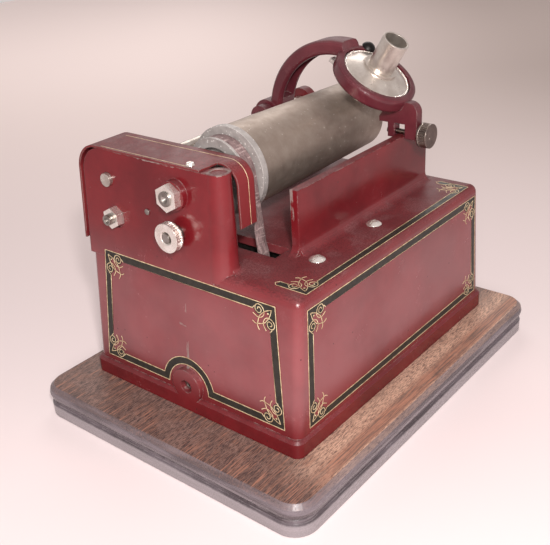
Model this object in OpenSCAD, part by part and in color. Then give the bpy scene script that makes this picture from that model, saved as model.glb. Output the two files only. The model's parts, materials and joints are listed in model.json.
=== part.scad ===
// Table-top cylinder phonograph: enamelled cast case on a moulded oak board,
// overhung tapered mandrel, belt drive from a spring motor, and a carriage
// that slides and lifts on a rod behind the mandrel.
// Frame: +X along the long front to the right, +Y to the back, +Z up,
// origin at the bottom centre of the board. Millimetres.

/* [Base board] */
// Length of the board, along X
board_l = 254; // [244:1:280]
// Depth of the board, along Y
board_w = 196; // [190:1:220]
// Thickness of the board
board_t = 19; // [16:0.5:26]
// Radius of the board's corners, seen from above
board_r = 14; // [10:1:22]
// Height of the lower lip of the moulded edge
lip_h = 7; // [5:0.5:8]
// Height of the groove between the lip and the bead
groove_h = 2; // [1:0.5:3]
// Depth of that groove
groove_d = 2.2; // [1:0.1:4]
// Offset of the case from the board's middle, along X
case_shift_x = 5; // [0:0.5:8]
// Offset of the case from the board's middle, along Y
case_shift_y = 3.5; // [0:0.5:6]

/* [Case] */
// Length of the case at its foot
case_l = 201; // [198:1:215]
// Depth of the case at its foot
case_w = 155; // [153:1:165]
// Height of the ledge above the board
case_h = 87; // [85:1:100]
// Inset of each end face at the ledge
draft_x = 7; // [4:0.5:9]
// Inset of the front and back faces at the ledge
draft_y = 0.8; // [0.5:0.1:2]
// Thickness of the case's walls
case_wall = 5; // [4:0.5:6]
// Radius of the case's edges
edge_r = 5; // [3:0.5:7]
// Height of the foot band
foot_h = 10; // [7:0.5:11]
// How far the foot band stands proud
foot_proud = 1.5; // [1:0.1:2.5]
// Radius of the arched boss round the winding hole
wind_boss_r = 10.5; // [9:0.5:13]

/* [End wall and bed] */
// Inner face of the end wall, from the foot's left edge
wall_in = 20; // [19:0.5:23]
// Height of the end wall above the ledge
wall_h = 52.5; // [51:0.5:58]
// Radius of the wall's rear top corner
wall_r = 14; // [8:1:18]
// Distance from the front of the foot to the column
column_y = 57; // [54:0.5:58]
// Radius of the column at its top
column_r = 6.3; // [5:0.1:7]
// Front face of the guide plate, from the front of the foot
plate_y = 34; // [32:0.5:35]
// Thickness of the guide plate
plate_t = 5; // [4:0.25:5.5]
// Height of the guide plate above the ledge
plate_h = 36; // [30:0.5:36]
// Left end of the guide plate
plate_x = 51; // [48:0.5:56]
// Length of the guide plate
plate_l = 130.5; // [124:0.5:134]
// Radius of the fillet in front of the guide plate
plate_fillet = 5.5; // [4:0.5:6]
// Width of the belt slot in the bed
slot_w = 13; // [11:0.5:13]

/* [Mandrel] */
// Distance of the mandrel's axis from the front of the foot
mandrel_y = 81; // [80:0.5:83]
// Height of the mandrel's axis above the ledge
mandrel_h = 38.3; // [37:0.1:40]
// Radius of the mandrel at its large end
mandrel_r1 = 23.4; // [22:0.1:24]
// Radius of the mandrel at its free end
mandrel_r2 = 21.1; // [20:0.1:22]
// Length of the plated mandrel
mandrel_l = 117; // [112:1:120]
// Thickness of the mandrel's shell
mandrel_wall = 2.6; // [2:0.1:4]
// Radius of the mandrel's shaft
shaft_r = 4; // [3:0.1:4.5]
// Radius of the grey rim beside the mandrel
rim_r = 24.6; // [24.2:0.1:25.5]
// Width of the grey rim
rim_w = 4; // [3:0.25:5]

/* [Belt drive] */
// Radius of the belt's seat on the mandrel pulley
pulley_r = 18.5; // [17:0.1:19]
// Radius of the belt's seat on the motor pulley
drive_pulley_r = 12.5; // [11:0.1:14]
// Height of each pulley flange above its belt seat
flange_h = 2.2; // [2:0.1:3]
// Width of the belt
belt_w = 7; // [6:0.25:7.5]
// Thickness of the belt
belt_t = 1.6; // [1.2:0.1:1.9]
// Distance of the drive shaft from the front of the foot
drive_y = 66; // [64:0.5:67]
// Height of the drive shaft above the board
drive_z = 41; // [40:0.5:42]

/* [Feed gears] */
// Teeth on each of the three feed gears
feed_teeth = 26; // [26:1:26]
// Module of the feed gears
feed_mod = 1; // [0.95:0.01:1]
// Width of the feed gears
feed_gear_w = 6; // [4:0.5:6]
// Distance of the idler from the front of the foot
idler_y = 103; // [103:0.1:103.4]
// Height of the idler above the ledge
idler_h = 24.3; // [23.9:0.1:24.3]
// Distance of the feed screw from the front of the foot
feed_y = 128; // [128:0.1:128.5]
// Height of the feed screw above the ledge
feed_h = 16.5; // [16:0.1:16.6]
// Radius of the feed screw
feed_r = 3.6; // [3:0.1:4]

/* [Carriage] */
// Distance of the back rod from the front of the foot
rod_y = 133; // [132.5:0.5:134]
// Height of the back rod above the ledge
rod_h = 36.5; // [36.2:0.1:37.5]
// Radius of the back rod
rod_r = 3.75; // [3.25:0.05:4]
// Distance of the carriage's middle from the right end of the case
carriage_x = 44; // [41:1:135]
// Width of the arm
arm_w = 17; // [14:0.5:20]
// Inner radius of the arm's arch, about the mandrel's axis
arch_ri = 41.2; // [40.8:0.1:43.5]
// Outer radius of the arm's arch
arch_ro = 50; // [49:0.1:52]
// Inner radius of the arm's hub
hub_ri = 6; // [5.5:0.1:6.4]
// Outer radius of the arm's hub
hub_ro = 10; // [9:0.1:10.5]
// Radius of the sleeve beside the hub
sleeve_r = 7.6; // [7.2:0.1:8.8]
// Length of the sleeve to the left of the arm
sleeve_left = 7; // [6:0.5:11]

/* [Reproducer] */
// Lean of the reproducer's axis to the front, degrees
rep_lean = 32.5; // [30.5:0.5:34]
// Distance of the reproducer's middle from the front of the foot
rep_y = 54.75; // [54.25:0.25:55.5]
// Height of the reproducer's middle above the ledge
rep_h = 69; // [68.75:0.25:71]
// Radius of the reproducer's plated cover
rep_r = 21; // [20.5:0.1:21.5]
// Outside radius of the horn neck
neck_r = 7.95; // [7:0.05:8.5]
// Wall of the horn neck
neck_wall = 1.1; // [0.8:0.1:1.5]
// Height of the neck above the reproducer's middle
neck_h = 25.5; // [18:0.5:28]
// Thickness of the ring round the reproducer
ring_t = 4.2; // [4:0.1:5.5]
// Height of that ring
ring_h = 9; // [8.5:0.1:9.5]

/* [Motor] */
// Left face of the left motor plate
motor_x = 58; // [57.5:0.5:59]
// Distance between the two motor plates
motor_gap = 55; // [55:0.5:58]
// Thickness of the motor plates
motor_plate_t = 3; // [2.5:0.25:3]
// Distance of the spring barrel from the front of the foot
barrel_y = 108; // [108:0.25:108.5]
// Height of the spring barrel above the board
barrel_z = 40; // [40:0.25:40.5]
// Radius of the spring barrel
barrel_r = 28; // [25:0.5:29]
// Length of the spring barrel
barrel_l = 26; // [22:0.5:26]
// Turns of the mainspring
spring_turns = 9; // [5:1:11]
// Teeth on the great wheel
great_teeth = 66; // [66:1:66]
// Distance of the winding shaft from the front of the foot
wind_y = 78; // [78:0.1:78.2]
// Height of the winding shaft above the board
wind_z = 16; // [16:0.1:16.2]
// Radius of the winding shaft
wind_r = 3.5; // [3:0.1:4]
// Radius of the balls of the governor
ball_r = 3.5; // [3:0.1:3.6]
// Radius of the friction disc of the governor
disc_r = 12; // [11.5:0.1:12]

/* [Hidden] */
$fn = 64;
hull_fn = 32;
run = 0.05;
snug = 0.02;
clear = 0.3;
case_x = -case_l / 2 + case_shift_x;
case_y = -case_w / 2 + case_shift_y;
slope_x = draft_x / case_h;
slope_y = draft_y / case_h;
wall_top = case_h + wall_h;
mandrel_z = case_h + mandrel_h;
idler_z = case_h + idler_h;
feed_z = case_h + feed_h;
rod_z = case_h + rod_h;
rep_z = case_h + rep_h;
roof = case_h - case_wall;

// Stations along X, from the end wall to the free end of the mandrel
link_t = 3;
gear_gap = 2;
gear_x = wall_in + link_t + gear_gap;
hood_x1 = gear_x + feed_gear_w + 7.7;
bearing_x = gear_x + feed_gear_w + 1.2;
bearing_w = 5.6;
flange_t = 1.4;
pulley_x = bearing_x + bearing_w + 4.6;
belt_x = pulley_x + flange_t;
seat_w = 8;
rim_x = belt_x + seat_w;
mandrel_x = rim_x + rim_w;
mandrel_x1 = mandrel_x + mandrel_l;
web_t = 5;
far_web_x = mandrel_x1 - 22;
shaft_x0 = wall_in + 1.5;
shaft_x1 = far_web_x + web_t + 4;

// Rear right lug that carries the back rod and the feed screw
lug_t = 7;
lug_x = case_l - draft_x - 9.6;
lug_r = 9;
feed_x0 = gear_x - 1;
feed_x1 = lug_x - 2.5;
pivot_r = 2;
pivot_len = 4;
rod_out = 2;

// Screws and nuts on the end wall
mandrel_stud_r = 4;
mandrel_nut_af = 13;
mandrel_nut_t = 4.5;
mandrel_boss = 4;
feed_stud_r = 3;
feed_nut_af = 10.5;
feed_nut_t = 5;
stud_out = 3;
slot_cut = 1.2;
thumb_y = mandrel_y;
thumb_h = 17.6;
thumb_z = case_h + thumb_h;
thumb_r = 8;
thumb_t = 4.6;
thumb_stud_r = 2.6;
thumb_off = 4.6;
rivet_r = 1.6;

// Gear cover
hood_t = 1.2;
hood_y0 = column_y - 5.5;
wall_back = case_w - slope_y * case_h - foot_proud;
hood_gap = 2.6;
hood_y1 = wall_back + hood_gap + hood_t;
hood_z0 = case_h + 20;
hood_back_z = case_h - 2;
hood_r = 11;
hood_back_r = wall_r;
hood_screw_r = 1.3;
hood_screw_l = 7;
hood_head_r = 2.4;
hood_head_t = 1.4;

// Carriage and reproducer
carriage_mid = case_l - carriage_x;
arm_x = carriage_mid - arm_w / 2;
collar_t = 3.5;
arm_round = 2.4;
arch_rib = 3.2;
arch_inset = 0.4;
ring_round = 2.2;
ring_drop = 2;
shoulder_r = 6;
arch_end = 112;
ring_ri = rep_r + 0.5;
ring_ro = ring_ri + ring_t;
fork_w = 6;
fork_gap = 1;
lift_r = 1.6;
lift_z = case_h + plate_h + lift_r + 0.1;
lift_knob_r = 7.2;
lift_knob_t = 6;
fork_back = 4.5;
fork_front = 8;
fork_roof = 3.8;
fork_bridge = 13.2;
fork_tail = 6;
weight_room = 1.7;
lift_y0 = plate_y - fork_gap - fork_front - 2 - lift_knob_t;
lift_y1 = plate_y + plate_t + fork_gap + fork_back;
nut_y = feed_y + 1;
nut_gap = 0.3;

// Gear trains
mod_fine = 0.8;
great_mod = 1;
pinion_teeth = 12;
second_teeth = 45;
gov_wheel_teeth = 48;
wind_teeth = 16;
arbor_teeth = 60;
mesh_extra = 0.12;
backlash = 0.2;
d_great = (great_teeth + pinion_teeth) / 2 * great_mod + mesh_extra;
d_second = (second_teeth + pinion_teeth) / 2 * mod_fine + mesh_extra;
d_gov = (gov_wheel_teeth + pinion_teeth) / 2 * mod_fine + mesh_extra;
wind_dist = norm([barrel_y - wind_y, barrel_z - wind_z]);
wind_mod = (wind_dist - mesh_extra) / ((arbor_teeth + wind_teeth) / 2);

// Upper crossing of two circles, for the shaft that meshes with two others
function crossing(a, ra, b, rb) =
    let (d = norm(b - a), u = (b - a) / d)
    let (s = (ra * ra - rb * rb + d * d) / (2 * d))
    a + u * s + [-u[1], u[0]] * sqrt(ra * ra - s * s);

drive = [drive_y, drive_z];
barrel = [barrel_y, barrel_z];
wind = [wind_y, wind_z];
second = crossing(drive, d_second, barrel, d_great);
gov_angle = 200;
gov = drive + d_gov * [cos(gov_angle), sin(gov_angle)];

motor_in = motor_x + motor_plate_t;
motor_out = motor_in + motor_gap;
motor_x1 = motor_out + motor_plate_t;
wheel_t = 4;
fine_t = 3.5;
arbor_wheel_x = motor_in + 2;
ratchet_x = arbor_wheel_x + wheel_t + 0.5;
ratchet_t = 2.5;
ratchet_r = 12;
barrel_x = ratchet_x + ratchet_t + 2;
barrel_x1 = barrel_x + barrel_l;
great_x = barrel_x1;
second_x = great_x + wheel_t + 2.5;
gov_wheel_x = second_x + fine_t + 1.5;
axle_r = 3;
journal_r = 2.2;
arbor_r = 5;
hanger_s = 12;
head_r = 4.6;
seat = 0.03;
hanger_z0 = roof - seat - hanger_s;
screw_y0 = plate_y - plate_fillet - head_r - 0.4;
screw_y1 = 138;
screw_x0 = motor_x - 6;
screw_x1 = motor_out - 10;
screw_r = 2.5;
plate_y0 = 19;
plate_y1 = screw_y1 + 7;
plate_z0 = 4;
pillar_r = 4;
pillar_tip = 2.2;
pillar_nut_af = 7;
pillar_nut_t = 3;
pillars = [[plate_y0 + 7, 11], [plate_y0 + 7, hanger_z0 - 10],
           [plate_y1 - 6, 11], [plate_y1 - 6, hanger_z0 - 6]];
gov_disc_x = motor_in + 31;
gov_hub_x = motor_in + 8;
gov_hub_t = 5;
gov_disc_t = 3;
lever_z = gov[1] - 7;
lever_t = 3;
lever_w = 8;
lever_x = motor_x1 + 10;
lever_y = gov[0] - 18;
lever_pivot_r = 2.5;
lever_out = 7;
lever_swing = 6;
lever_eye_r = 6;
shelf_w = 14;
shelf_t = 4;
collar_w = 1.5;
collar_h = 1.6;
base_screw_in = 12;
base_boss_r = 6;
base_boss_h = 26;
base_screw_r = 2.2;

// Shared shapes

module in_case() {
    translate([case_x, case_y, board_t]) children();
}

// A profile or solid drawn along +Z is laid along +X at a place in the case
module along_x(x, yz) {
    translate([x, yz[0], yz[1]]) rotate([90, 0, 90]) children();
}

module rod_x(x, yz, r, l) {
    along_x(x, yz) cylinder(r = r, h = l);
}

module hex_x(x, yz, af, l) {
    along_x(x, yz) rotate(30) cylinder(r = af / sqrt(3), h = l, $fn = 6);
}

// Slot across the end of a screw that lies along X, at the end face x
module slot_x(x, yz, r, deep) {
    along_x(x, yz) translate([-r, -slot_cut / 2, 0]) cube([2 * r, slot_cut, deep]);
}

function inv(a) = tan(a) - a * PI / 180;

// Half the angle of a tooth at radius q, for pitch radius r
function tooth_half(r, m, q) =
    let (rb = r * cos(20), p = max(q, rb))
    (PI * m / 2 - backlash * m / 2) / (2 * r) * 180 / PI
        + (inv(20) - inv(acos(rb / p))) * 180 / PI;

function polar(q, a) = [q * cos(a), q * sin(a)];

// Outline of a gear with n teeth of module m; one tooth points along angle a
function gear_points(n, m, a) =
    let (r = n * m / 2, rt = r + 0.75 * m, rr = r - 1.15 * m)
    let (ht = tooth_half(r, m, rt), hr = tooth_half(r, m, rr) * (n < 20 ? 0.9 : 1))
    [for (i = [0 : n - 1])
        let (c = a + i * 360 / n)
        each [polar(rr, c - hr), polar(rt, c - ht), polar(rt, c + ht), polar(rr, c + hr)]];

module gear_x(x, yz, n, m, w, a, bore) {
    difference() {
        along_x(x, yz) linear_extrude(w) polygon(gear_points(n, m, a));
        rod_x(x - 1, yz, bore, w + 2);
    }
}

// Angle of a tooth of gear 2 that meshes with gear 1, whose tooth lies at a1
function mesh_angle(p1, n1, a1, p2, n2) =
    let (t = atan2(p2[1] - p1[1], p2[0] - p1[0]), q = (t - a1) * n1 / 360)
    t + 180 + (q - floor(q)) * 360 / n2 + 180 / n2;

mandrel_axis = [mandrel_y, mandrel_z];
idler_axis = [idler_y, idler_z];
feed_axis = [feed_y, feed_z];
rod_axis = [rod_y, rod_z];
thumb_axis = [thumb_y, thumb_z];
idler_tooth = mesh_angle(mandrel_axis, feed_teeth, 0, idler_axis, feed_teeth);
feed_tooth = mesh_angle(idler_axis, feed_teeth, idler_tooth, feed_axis, feed_teeth);
second_tooth = mesh_angle(drive, pinion_teeth, 0, second, second_teeth);
great_tooth = mesh_angle(second, pinion_teeth, 0, barrel, great_teeth);
gov_tooth = mesh_angle(drive, gov_wheel_teeth, 0, gov, pinion_teeth);
arbor_tooth = mesh_angle(wind, wind_teeth, 0, barrel, arbor_teeth);

// X of the drafted left face, and of the right face, at height z
function face_x(z) = slope_x * z;

// Base board

module board_layer(z, h, inset) {
    hull() for (x = [-1, 1], y = [-1, 1])
        translate([x * (board_l / 2 - board_r), y * (board_w / 2 - board_r), z])
            cylinder(r = board_r - inset, h = h, $fn = hull_fn);
}

// Half-round bead along the top edge
module board_bead(z, h) {
    hull() for (x = [-1, 1], y = [-1, 1])
        translate([x * (board_l / 2 - board_r), y * (board_w / 2 - board_r), z])
            for (k = [0 : 4])
                let (s = k / 4 * 2 - 1, out = sqrt(1 - s * s * 0.86))
                translate([0, 0, k / 4 * (h - 0.4)])
                    cylinder(r = board_r - (1 - out) * h * 0.5, h = 0.4, $fn = hull_fn);
}

function base_screw_places() =
    [for (x = [base_screw_in, case_l - base_screw_in], y = [base_screw_in, case_w - base_screw_in])
        [x + case_x, y + case_y]];

module base_board() {
    color([0.33, 0.17, 0.11]) difference() {
        union() {
            board_layer(0, lip_h, 0.6);
            board_layer(lip_h, groove_h, groove_d);
            board_bead(lip_h + groove_h, board_t - lip_h - groove_h);
        }
        for (p = base_screw_places()) {
            translate([p[0], p[1], -1]) cylinder(r = base_screw_r + snug, h = board_t + 2);
            translate([p[0], p[1], -1]) cylinder(r = head_r + 0.4, h = 6);
        }
    }
}

module base_screws() {
    color([0.6, 0.58, 0.53]) for (p = base_screw_places()) translate([p[0], p[1], 2]) difference() {
        union() {
            cylinder(r = head_r, h = 3);
            cylinder(r = base_screw_r, h = board_t + base_boss_h - 10);
        }
        translate([-head_r, -slot_cut / 2, -1]) cube([2 * head_r, slot_cut, 2]);
    }
}

// Case casting

// Tapered hollow body: rounded at the ledge, open below
module case_body(inset, z0, z1, r) {
    hull() {
        for (x = [inset + r, case_l - inset - r], y = [inset + r, case_w - inset - r])
            translate([x, y, z0]) cylinder(r = r, h = 0.1, $fn = hull_fn);
        for (x = [inset + slope_x * z1 + r, case_l - inset - slope_x * z1 - r],
             y = [inset + slope_y * z1 + r, case_w - inset - slope_y * z1 - r])
            translate([x, y, z1 - r]) sphere(r = r, $fn = hull_fn);
    }
}

module case_foot() {
    hull() for (x = [edge_r, case_l - edge_r], y = [edge_r, case_w - edge_r])
        translate([x, y, 0]) {
            cylinder(r = edge_r, h = foot_h - 1.5, $fn = hull_fn);
            cylinder(r = edge_r - foot_proud, h = foot_h, $fn = hull_fn);
        }
}

// Wall at the left end, drafted outside, with a rounded top corner at the back
module end_wall() {
    back = wall_back;
    z0 = case_h - 2 * edge_r;
    intersection() {
        translate([0, case_w, 0]) rotate([90, 0, 0]) linear_extrude(case_w)
            polygon([[face_x(z0) + foot_proud, z0], [wall_in, z0], [wall_in, wall_top],
                     [face_x(wall_top) + foot_proud, wall_top]]);
        union() {
            translate([0, column_y, z0]) cube([wall_in, back - column_y, wall_top - wall_r - z0]);
            translate([0, column_y, z0]) cube([wall_in, back - wall_r - column_y, wall_top - z0]);
            rod_x(0, [back - wall_r, wall_top - wall_r], wall_r, wall_in);
        }
    }
}

column_x = face_x(wall_top) + foot_proud + column_r - 0.25;
column_fillet = 3.5;

// Leans by half the draft, so that its left side follows the face and its right side is upright
module column() {
    lean = atan(slope_x) / 2;
    top = 2;
    down = wall_h + edge_r;
    intersection() {
        translate([column_x, column_y, wall_top]) rotate([0, lean, 0]) translate([0, 0, -down])
            cylinder(r1 = column_r + down * tan(lean), r2 = column_r - top * tan(lean), h = down + top);
        translate([0, column_y - 20, case_h - edge_r]) cube([60, 40, down]);
    }
    column_root();
}

// Hollow fillet between the column and the ledge
module column_root() {
    r = column_r + wall_h * slope_x / 2 - 0.3;
    f = column_fillet;
    translate([column_x - wall_h * slope_x / 2, column_y, case_h]) rotate(-104)
        rotate_extrude(angle = 118) polygon(concat([[r - 3, -2], [r + f, -2]],
            [for (k = [0 : 6]) [r + f, f] + polar(f, 270 - 15 * k)], [[r - 3, f]]));
}

module guide_plate() {
    translate([plate_x, plate_y, case_h - 2]) cube([plate_l, plate_t, plate_h + 2]);
    difference() {
        translate([plate_x, plate_y - plate_fillet, case_h - 2])
            cube([plate_l, plate_fillet + 1, plate_fillet + 2]);
        along_x(plate_x - 1, [plate_y - plate_fillet, case_h + plate_fillet])
            cylinder(r = plate_fillet, h = plate_l + 2);
    }
    plate_end(plate_x - plate_fillet, plate_x - plate_fillet);
    plate_end(plate_x + plate_l, plate_x + plate_l + plate_fillet);
}

// Hollow fillet at one end of the plate, about an axis at x_axis
module plate_end(x, x_axis) {
    difference() {
        translate([x - 0.01, plate_y, case_h - 2])
            cube([plate_fillet + 0.02, plate_t, plate_fillet + 2]);
        translate([x_axis, plate_y - 1, case_h + plate_fillet]) rotate([-90, 0, 0])
            cylinder(r = plate_fillet, h = plate_t + 2);
    }
}

// Upright with a round top, as wide as its top
module upright(x, yz, r, w) {
    rod_x(x, yz, r, w);
    translate([x, yz[0] - r, case_h - 2]) cube([w, 2 * r, yz[1] - case_h + 2]);
}

module rear_lug() {
    upright(lug_x, rod_axis, lug_r, lug_t);
    translate([lug_x, rod_y - lug_r - 4, case_h - 2]) cube([lug_t, 2 * lug_r, feed_h + 9]);
}

slot_y0 = plate_y + plate_t + 4;
slot_y1 = mandrel_y + pulley_r + 14;
wind_face = -1;

module case_casting() {
    color([0.42, 0.06, 0.09]) in_case() difference() {
        union() {
            difference() {
                union() {
                    case_body(foot_proud, 0, case_h, edge_r);
                    case_foot();
                    rod_x(wind_face + 1, wind, wind_boss_r, case_wall + 3);
                }
                case_body(foot_proud + case_wall, -0.2, roof, 2);
            }
            intersection() {
                for (x = [base_screw_in, case_l - base_screw_in],
                     y = [base_screw_in, case_w - base_screw_in])
                    translate([x, y, 0]) cylinder(r = base_boss_r, h = base_boss_h);
                translate([foot_proud + 2, foot_proud + 2, 0])
                    cube([case_l - 2 * foot_proud - 4, case_w - 2 * foot_proud - 4, case_h / 2]);
            }
            end_wall();
            column();
            guide_plate();
            rear_lug();
            upright(bearing_x, mandrel_axis, shaft_r + 5, bearing_w);
            rod_x(mandrel_face, mandrel_axis, mandrel_nut_af * 0.62, wall_in - mandrel_face - 2);
        }
        // Screw holes up from the board
        for (x = [base_screw_in, case_l - base_screw_in], y = [base_screw_in, case_w - base_screw_in])
            translate([x, y, -1]) cylinder(r = base_screw_r + snug, h = base_boss_h - 3);
        // Winding hole
        rod_x(-3, wind, wind_r + 0.4, case_wall + 12);
        // Belt slot
        translate([belt_x + seat_w / 2 - slot_w / 2, slot_y0, roof - 1])
            cube([slot_w, slot_y1 - slot_y0, case_wall + 2]);
        // Mandrel: stud hole and inner bearing
        rod_x(-1, mandrel_axis, mandrel_stud_r + snug, wall_in + 2);
        rod_x(bearing_x - 1, mandrel_axis, shaft_r + run, bearing_w + 2);
        // Feed screw: stud holes and spot face
        rod_x(-1, feed_axis, feed_stud_r + snug, wall_in + 2);
        rod_x(nut_face(feed_axis, feed_nut_af) - 20, feed_axis, feed_nut_af * 0.62, 20);
        rod_x(lug_x - 1, feed_axis, feed_stud_r + snug, lug_t + 2);
        // Back rod
        rod_x(-1, rod_axis, rod_r + snug, wall_in + 2);
        rod_x(lug_x - 1, rod_axis, rod_r + snug, lug_t + 2);
        // Change stud and idler stud
        rod_x(-1, thumb_axis, thumb_stud_r + snug, wall_in + 2);
        rod_x(nut_face(thumb_axis, 8) - 20, thumb_axis, 5, 20);
        rod_x(-1, idler_axis, rivet_r + snug, wall_in + 2);
        // Recess and side hole of the column
        translate([column_x, column_y, wall_top - 0.7]) cylinder(r = column_r * 0.7, h = 2);
        column_pin_hole();
        // Motor screws
        for (x = [screw_x0, screw_x1], y = [screw_y0, screw_y1])
            translate([x, y, roof - 1]) cylinder(r = screw_r + snug, h = case_wall + 2);
        // Slot of the brake lever in the right end
        translate([case_l - 20, lever_y - lever_w / 2 - 2, lever_z - 2])
            cube([30, lever_w + 4 + lever_room, lever_t + 4]);
        // Cover screw holes in the wall's top
        for (y = hood_screw_y)
            translate([hood_screw_x, y, wall_top - hood_screw_l - 1])
                cylinder(r = hood_screw_r + snug, h = hood_screw_l + 3);
    }
}

// Deepest point of the drafted wall under a nut of that width
function nut_face(yz, af) = face_x(yz[1] + af * 0.62) + foot_proud;

// Face of the boss under the mandrel's nut
mandrel_face = nut_face(mandrel_axis, mandrel_nut_af) - mandrel_boss;

module column_pin_hole() {
    translate([column_x, column_y, wall_top - 22]) rotate([0, 90, 0]) cylinder(r = 1.2 + snug, h = 20);
}

module column_pin() {
    color([0.72, 0.7, 0.64]) in_case() translate([column_x + 2, column_y, wall_top - 22])
        rotate([0, 90, 0]) cylinder(r = 1.2, h = column_r);
}

// Gear cover

hood_notch_x = max(wall_in, column_x + column_r + 1) + clear;
hood_screw_x = (face_x(wall_top) + foot_proud + wall_in) / 2;
hood_screw_y = [column_y + 16.5];

// Bent sheet seen from the end: front and rear legs under one flat top
module hood_block(inset, x0, x1) {
    y0 = hood_y0 + inset;
    y1 = hood_y1 - inset;
    z0 = hood_back_z - 1;
    z1 = wall_top + hood_t - inset;
    rf = hood_r - inset;
    rb = hood_back_r - inset;
    translate([x0, y0, z0]) cube([x1 - x0, rf, z1 - rf - z0]);
    translate([x0, y0 + rf, z0]) cube([x1 - x0, y1 - rb - y0 - rf, z1 - z0]);
    translate([x0, y1 - rb, z0]) cube([x1 - x0, rb, z1 - rb - z0]);
    rod_x(x0, [y0 + rf, z1 - rf], rf, x1 - x0);
    rod_x(x0, [y1 - rb, z1 - rb], rb, x1 - x0);
}

// Left edge of the sheet, in line with the drafted wall
module hood_reach() {
    z0 = hood_back_z;
    z1 = wall_top + hood_t + 1;
    translate([0, hood_y1 + 1, 0]) rotate([90, 0, 0]) linear_extrude(hood_y1 - hood_y0 + 2)
        polygon([[face_x(z0) + foot_proud, z0], [hood_x1, z0], [hood_x1, z1],
                 [face_x(z1) + foot_proud, z1]]);
}

module gear_cover() {
    x0 = foot_proud;
    color([0.40, 0.06, 0.09]) in_case() difference() {
        intersection() {
            hood_block(0, x0, hood_x1 + 1);
            hood_reach();
        }
        hood_block(hood_t, x0 - 1, hood_x1 + 2);
        // The front leg is shorter and stops beside the column
        translate([x0, hood_y0 - 1, hood_back_z - 2])
            cube([hood_x1, column_y - hood_y0, hood_z0 - hood_back_z + 2]);
        translate([x0 - 1, hood_y0 - 1, hood_back_z - 2])
            cube([hood_notch_x - x0 + 1, column_y + column_r + 1.2 - hood_y0 + 1, wall_h + 10]);
        for (y = hood_screw_y)
            translate([hood_screw_x, y, wall_top - 1]) cylinder(r = hood_screw_r + snug, h = 5);
    }
}

module gear_cover_screw() {
    color([0.72, 0.7, 0.64]) in_case() for (y = hood_screw_y)
        translate([hood_screw_x, y, wall_top + hood_t]) difference() {
            union() {
                cylinder(r1 = hood_head_r, r2 = hood_head_r * 0.75, h = hood_head_t);
                translate([0, 0, -hood_screw_l]) cylinder(r = hood_screw_r, h = hood_screw_l + 0.5);
            }
            translate([-hood_head_r, -slot_cut / 4, hood_head_t * 0.6])
                cube([2 * hood_head_r, slot_cut / 2, hood_head_t]);
        }
}

// Hardware of the end wall

module mandrel_bearing_screw() {
    x0 = mandrel_face - mandrel_nut_t - 0.8;
    color([0.62, 0.6, 0.54]) in_case() difference() {
        union() {
            rod_x(x0, mandrel_axis, mandrel_stud_r, wall_in + 1 - x0);
            rod_x(wall_in, mandrel_axis, pivot_r, shaft_x0 - wall_in + pivot_len);
        }
        along_x(x0 - 0.01, mandrel_axis) cylinder(r1 = mandrel_stud_r * 0.55, r2 = 0.5, h = 1.6);
    }
}

module mandrel_lock_nut() {
    x = mandrel_face;
    color([0.66, 0.63, 0.56]) in_case() difference() {
        hex_x(x - mandrel_nut_t, mandrel_axis, mandrel_nut_af, mandrel_nut_t);
        rod_x(x - mandrel_nut_t - 1, mandrel_axis, mandrel_stud_r + snug, mandrel_nut_t + 2);
    }
}

feed_face = nut_face(feed_axis, feed_nut_af);

module feed_pivot_screws() {
    x0 = feed_face - feed_nut_t - stud_out;
    x1 = lug_x + lug_t + feed_nut_t + 2;
    color([0.62, 0.6, 0.54]) in_case() {
        difference() {
            union() {
                rod_x(x0, feed_axis, feed_stud_r, wall_in + 1 - x0);
                rod_x(wall_in, feed_axis, pivot_r, feed_x0 - wall_in + pivot_len);
            }
            rod_x(x0 - 0.01, feed_axis, feed_stud_r * 0.6, 1.2);
        }
        difference() {
            union() {
                rod_x(feed_x1 + 1, feed_axis, feed_stud_r, x1 - feed_x1 - 1);
                rod_x(feed_x1 - pivot_len, feed_axis, pivot_r, pivot_len + 2);
            }
            slot_x(x1 - 1.2, feed_axis, feed_stud_r, 1.3);
        }
    }
}

module feed_lock_nuts() {
    color([0.66, 0.63, 0.56]) in_case()
        for (x = [feed_face - feed_nut_t, lug_x + lug_t]) difference() {
            hex_x(x, feed_axis, feed_nut_af, feed_nut_t);
            rod_x(x - 1, feed_axis, feed_stud_r + snug, feed_nut_t + 2);
        }
}

module back_rod() {
    x0 = face_x(rod_z) + foot_proud - rod_out;
    color([0.6, 0.58, 0.52]) in_case() rod_x(x0, rod_axis, rod_r, lug_x + lug_t - x0);
}

// Link that carries the idler's stud, clamped to the wall by the change stud
module idler_link() {
    d = idler_axis - thumb_axis;
    color([0.45, 0.43, 0.4]) in_case() difference() {
        union() {
            rod_x(wall_in, thumb_axis, 6, link_t);
            rod_x(wall_in, idler_axis, 5, link_t);
            along_x(wall_in, thumb_axis) rotate(atan2(d[1], d[0]))
                translate([0, -4.5, 0]) cube([norm(d), 9, link_t]);
        }
        rod_x(wall_in - 1, thumb_axis, thumb_stud_r + snug, link_t + 2);
        rod_x(wall_in - 1, idler_axis, rivet_r + snug, link_t + 2);
    }
}

module idler_stud() {
    x0 = face_x(idler_z) + foot_proud - 0.6;
    color([0.6, 0.58, 0.52]) in_case() {
        rod_x(x0, idler_axis, rivet_r, wall_in + link_t - x0 + 0.5);
        rod_x(wall_in + link_t, idler_axis, axle_r, gear_gap + feed_gear_w + 0.6);
    }
}

thumb_x1 = nut_face(thumb_axis, 8) - thumb_off;

module change_stud() {
    x0 = thumb_x1 - thumb_t - 0.3;
    color([0.6, 0.58, 0.52]) in_case() {
        rod_x(x0, thumb_axis, thumb_stud_r, wall_in + link_t - x0 + 0.5);
        rod_x(thumb_x1 + 0.5, thumb_axis, 4, thumb_off - 0.5);
        rod_x(wall_in + link_t, thumb_axis, 4, 1.6);
    }
}

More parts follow.
